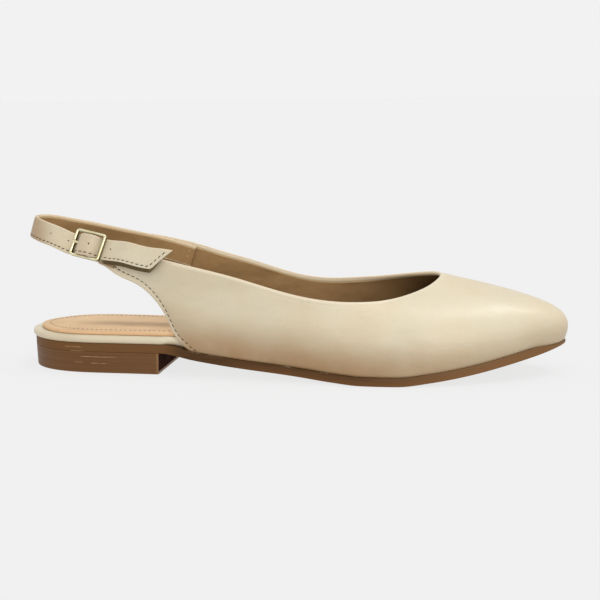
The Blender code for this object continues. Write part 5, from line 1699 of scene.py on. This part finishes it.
def stitch_tree():
    """Geometry nodes that lay thread stitches along a line whose points store their outward direction."""
    tree = bpy.data.node_groups.new("stitch_row", "GeometryNodeTree")
    face = tree.interface
    face.new_socket("Geometry", in_out="INPUT", socket_type="NodeSocketGeometry")
    for label in ("Pitch", "Stitch Length", "Thread Width", "Lift", "Slant"):
        face.new_socket(label, in_out="INPUT", socket_type="NodeSocketFloat")
    face.new_socket("Thread", in_out="INPUT", socket_type="NodeSocketMaterial")
    face.new_socket("Geometry", in_out="OUTPUT", socket_type="NodeSocketGeometry")
    nodes = tree.nodes
    into = nodes.new("NodeGroupInput").outputs
    out = nodes.new("NodeGroupOutput")

    def add(kind, *sources, **settings):
        made = nodes.new(kind)
        for key, value in settings.items():
            setattr(made, key, value)
        for name, source in sources:
            if isinstance(source, bpy.types.NodeSocket):
                tree.links.new(source, made.inputs[name])
            else:
                made.inputs[name].default_value = source
        return made

    curve = add("GeometryNodeMeshToCurve", ("Mesh", into["Geometry"]))
    spaced = add("GeometryNodeResampleCurve", ("Curve", curve.outputs["Curve"]), ("Length", into["Pitch"]),
                 mode="LENGTH")
    tangent = add("GeometryNodeInputTangent")
    outward = add("GeometryNodeInputNamedAttribute", ("Name", "outward"), data_type="FLOAT_VECTOR")
    lie = add("FunctionNodeAlignRotationToVector", ("Vector", tangent.outputs["Tangent"]), axis="X")
    stand = add("FunctionNodeAlignRotationToVector", ("Rotation", lie.outputs["Rotation"]),
                ("Vector", outward.outputs["Attribute"]), axis="Z", pivot_axis="X")
    slant = add("ShaderNodeCombineXYZ", ("Z", into["Slant"]))
    turned = add("FunctionNodeRotateRotation", ("Rotation", stand.outputs["Rotation"]),
                 ("Rotate By", slant.outputs["Vector"]), rotation_space="LOCAL")
    ball = add("GeometryNodeMeshUVSphere", ("Segments", 8), ("Rings", 6), ("Radius", 0.5))
    upright = add("GeometryNodeTransform", ("Geometry", ball.outputs["Mesh"]),
                  ("Rotation", (0.0, math.pi / 2, 0.0)))
    size = add("ShaderNodeCombineXYZ", ("X", into["Stitch Length"]), ("Y", into["Thread Width"]),
               ("Z", into["Thread Width"]))
    lift = add("ShaderNodeVectorMath", ("Scale", into["Lift"]), (0, outward.outputs["Attribute"]),
               operation="SCALE")
    lifted = add("GeometryNodeSetPosition", ("Geometry", spaced.outputs["Curve"]),
                 ("Offset", lift.outputs["Vector"]))
    laid = add("GeometryNodeInstanceOnPoints", ("Points", lifted.outputs["Geometry"]),
               ("Instance", upright.outputs["Geometry"]), ("Rotation", turned.outputs["Rotation"]),
               ("Scale", size.outputs["Vector"]))
    real = add("GeometryNodeRealizeInstances", ("Geometry", laid.outputs["Instances"]))
    smooth = add("GeometryNodeSetShadeSmooth", ("Geometry", real.outputs["Geometry"]))
    dressed = add("GeometryNodeSetMaterial", ("Geometry", smooth.outputs["Geometry"]),
                  ("Material", into["Thread"]))
    tree.links.new(dressed.outputs["Geometry"], out.inputs["Geometry"])
    return tree


def stitch_row(name, points, outward, thread, material):
    """Row of stitches through a line of points, made into a plain mesh."""
    mesh = bpy.data.meshes.new(name)
    links = [(i, i + 1) for i in range(len(points) - 1)]
    mesh.from_pydata((np.asarray(points) - MIDDLE).tolist(), links, [])
    layer = mesh.attributes.new("outward", "FLOAT_VECTOR", "POINT")
    layer.data.foreach_set("vector", unit(outward).astype(np.float32).ravel())
    obj = bpy.data.objects.new(name, mesh)
    bpy.context.scene.collection.objects.link(obj)
    modifier = obj.modifiers.new("stitches", "NODES")
    modifier.node_group = STITCHES
    values = {"Pitch": thread.pitch, "Stitch Length": thread.length, "Thread Width": thread.width,
              "Lift": thread.lift, "Slant": thread.slant, "Thread": material}
    for item in STITCHES.interface.items_tree:
        if item.name in values:
            modifier[item.identifier] = values[item.name]
    applied(obj, modifier)
    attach(obj, "root")


def build_stitches(dome, sock_high, sock_base):
    """Rows on both quarters, along the strap and over its tip, across its lap and round the heel pad."""
    for side, start, end in (("outer", ROW_END, OUTER_CORNER + ROW_PAST_CORNER),
                             ("inner", INNER_CORNER - ROW_PAST_CORNER, RIB_RUN - ROW_END)):
        knots = np.linspace(start, end, 60)
        shares = [share_at(knot, gap, "foot") for knot, gap in zip(knots, rear_stitch_distance(knots))]
        points, _, _, out = upper_frame(knots, shares)
        points = points - out * CHANNEL_DEPTH
        stitch_row(f"quarter_stitches_{side}", points, out, QUARTER_THREAD, dark_thread)

    half = STRAP_WIDTH / 2
    low = -half + STRAP_STITCH
    face = STRAP_THICKNESS / 2
    tip = STRAP_RUN - TIP_ROW_INSET
    rows = [(run, low) for run in np.arange(STRAP_ROW_START, tip, STRAP_ROW_STEP)]
    rows += [(tip, height) for height in np.linspace(low, half - TIP_ROW_BELOW_TOP, 14)[1:]]
    run, height = np.array(rows).T
    lift = np.where(height > low, TIP_ROW_LIFT, STRAP_ROW_LIFT)
    points, _, out = strap_surface(run, height, face + lift)
    stitch_row("strap_stitches", points, out, QUARTER_THREAD, dark_thread)

    lap = np.linspace(low, half - LAP_ROW_BELOW_TOP, 12)
    points, _, out = strap_surface(np.full(12, LAP_ROW_ALONG), lap, np.full(12, -face))
    stitch_row("strap_lap_stitches", points, -out, LAP_THREAD, light_thread)

    rear, _, outer, inner = edges(sock_base + PAD_STITCH_INSET)
    xs = rear + (PAD_STITCH_END - rear) * np.linspace(0, 1, 60) ** 2
    x = np.concatenate([xs[::-1], xs[1:]])
    y = np.concatenate([outer(xs)[::-1], inner(xs)[1:]])
    points = np.column_stack([x, y, sock_high(x) + dome(x, y)])
    stitch_row("heel_pad_stitches", points, np.tile((0.0, 0, 1), (len(x), 1)), PAD_THREAD, sock_thread)


# Studio

WORLD_TONE = (0.888, 0.888, 0.888, 1)
FLOOR_TONE = (0.08, 0.08, 0.08, 1)
FLOOR_GLOW = 0.77
FLOOR_SIZE, FLOOR_DROP = 60, 0.00005

# Soft lights: name, strength, angle across in degrees, direction towards the light
SUNS = (
    ("key", 0.36, 50, (0.25, -0.10, 1.0)),
    ("front", 1.15, 50, (0.35, -1.0, 0.30)),
    ("streak", 0.80, 14, (0.40, 0.10, 1.0)),
)

# Camera: angles in degrees, place that it looks at, distance, and lens and film width in millimetres
CAMERA_AZIMUTH, CAMERA_ELEVATION, CAMERA_ROLL = 9.3, 9.45, -0.7
CAMERA_TARGET = (0.1362, 0.0, 0.0328)
CAMERA_DISTANCE = 0.600
CAMERA_LENS, FILM_WIDTH = 74.45, 36


def build_studio():
    """Pale world, floor and soft lights."""
    scene = bpy.context.scene
    scene.view_settings.view_transform = "Standard"
    world = bpy.data.worlds.new("studio")
    world.use_nodes = True
    world.node_tree.nodes["Background"].inputs["Color"].default_value = WORLD_TONE
    scene.world = world

    bpy.ops.mesh.primitive_plane_add(size=FLOOR_SIZE)
    floor = bpy.context.object
    floor.name = "floor"
    floor.data.transform(Matrix.Translation((0, 0, -FLOOR_DROP)))
    ground = bpy.data.materials.new("pale_floor")
    ground.use_nodes = True
    shader = ground.node_tree.nodes["Principled BSDF"]
    shader.inputs["Base Color"].default_value = FLOOR_TONE
    shader.inputs["Roughness"].default_value = 1.0
    shader.inputs["Specular IOR Level"].default_value = 0.0
    shader.inputs["Emission Color"].default_value = (1, 1, 1, 1)
    shader.inputs["Emission Strength"].default_value = FLOOR_GLOW
    floor.data.materials.append(ground)

    for name, strength, angle, direction in SUNS:
        lamp = bpy.data.lights.new(name, "SUN")
        lamp.energy = strength
        lamp.angle = math.radians(angle)
        light = bpy.data.objects.new(name, lamp)
        light.rotation_euler = Vector(direction).to_track_quat("Z", "Y").to_euler()
        scene.collection.objects.link(light)


def build_camera():
    """The photograph's angle: a little above the shoe and a little towards its toe."""
    azimuth, elevation, roll = map(math.radians, (CAMERA_AZIMUTH, CAMERA_ELEVATION, CAMERA_ROLL))
    back = Vector((
        math.sin(azimuth) * math.cos(elevation), -math.cos(azimuth) * math.cos(elevation),
        math.sin(elevation)))
    right = Vector((math.cos(azimuth), math.sin(azimuth), 0))
    up = back.cross(right)
    target = Vector(CAMERA_TARGET) - Vector(MIDDLE)
    turned_right = right * math.cos(roll) + up * math.sin(roll)
    turned_up = up * math.cos(roll) - right * math.sin(roll)
    lens = bpy.data.cameras.new("camera")
    lens.lens = CAMERA_LENS
    lens.sensor_width = FILM_WIDTH
    lens.clip_start = 0.01
    camera = bpy.data.objects.new("camera", lens)
    camera.matrix_world = placed(turned_right, turned_up, back, target + back * CAMERA_DISTANCE)
    bpy.context.scene.collection.objects.link(camera)
    bpy.context.scene.camera = camera


for name in ("Cube", "Light", "Camera"):
    if name in bpy.data.objects:
        bpy.data.objects.remove(bpy.data.objects[name], do_unlink=True)

build_studio()
build_camera()
build_sole()
build_heel_layer("heel_block", TOP_LIFT_HEIGHT + SEAM, HEEL_HEIGHT - GAP / 2, BLOCK_ROUND)
build_heel_layer("top_lift", 0.0, TOP_LIFT_HEIGHT - SEAM, LIFT_ROUND)
dome, sock_high, sock_base = build_insole()
build_upper()
build_strap()
build_frame()
build_prong()
build_tab()
STITCHES = stitch_tree()
build_stitches(dome, sock_high, sock_base)
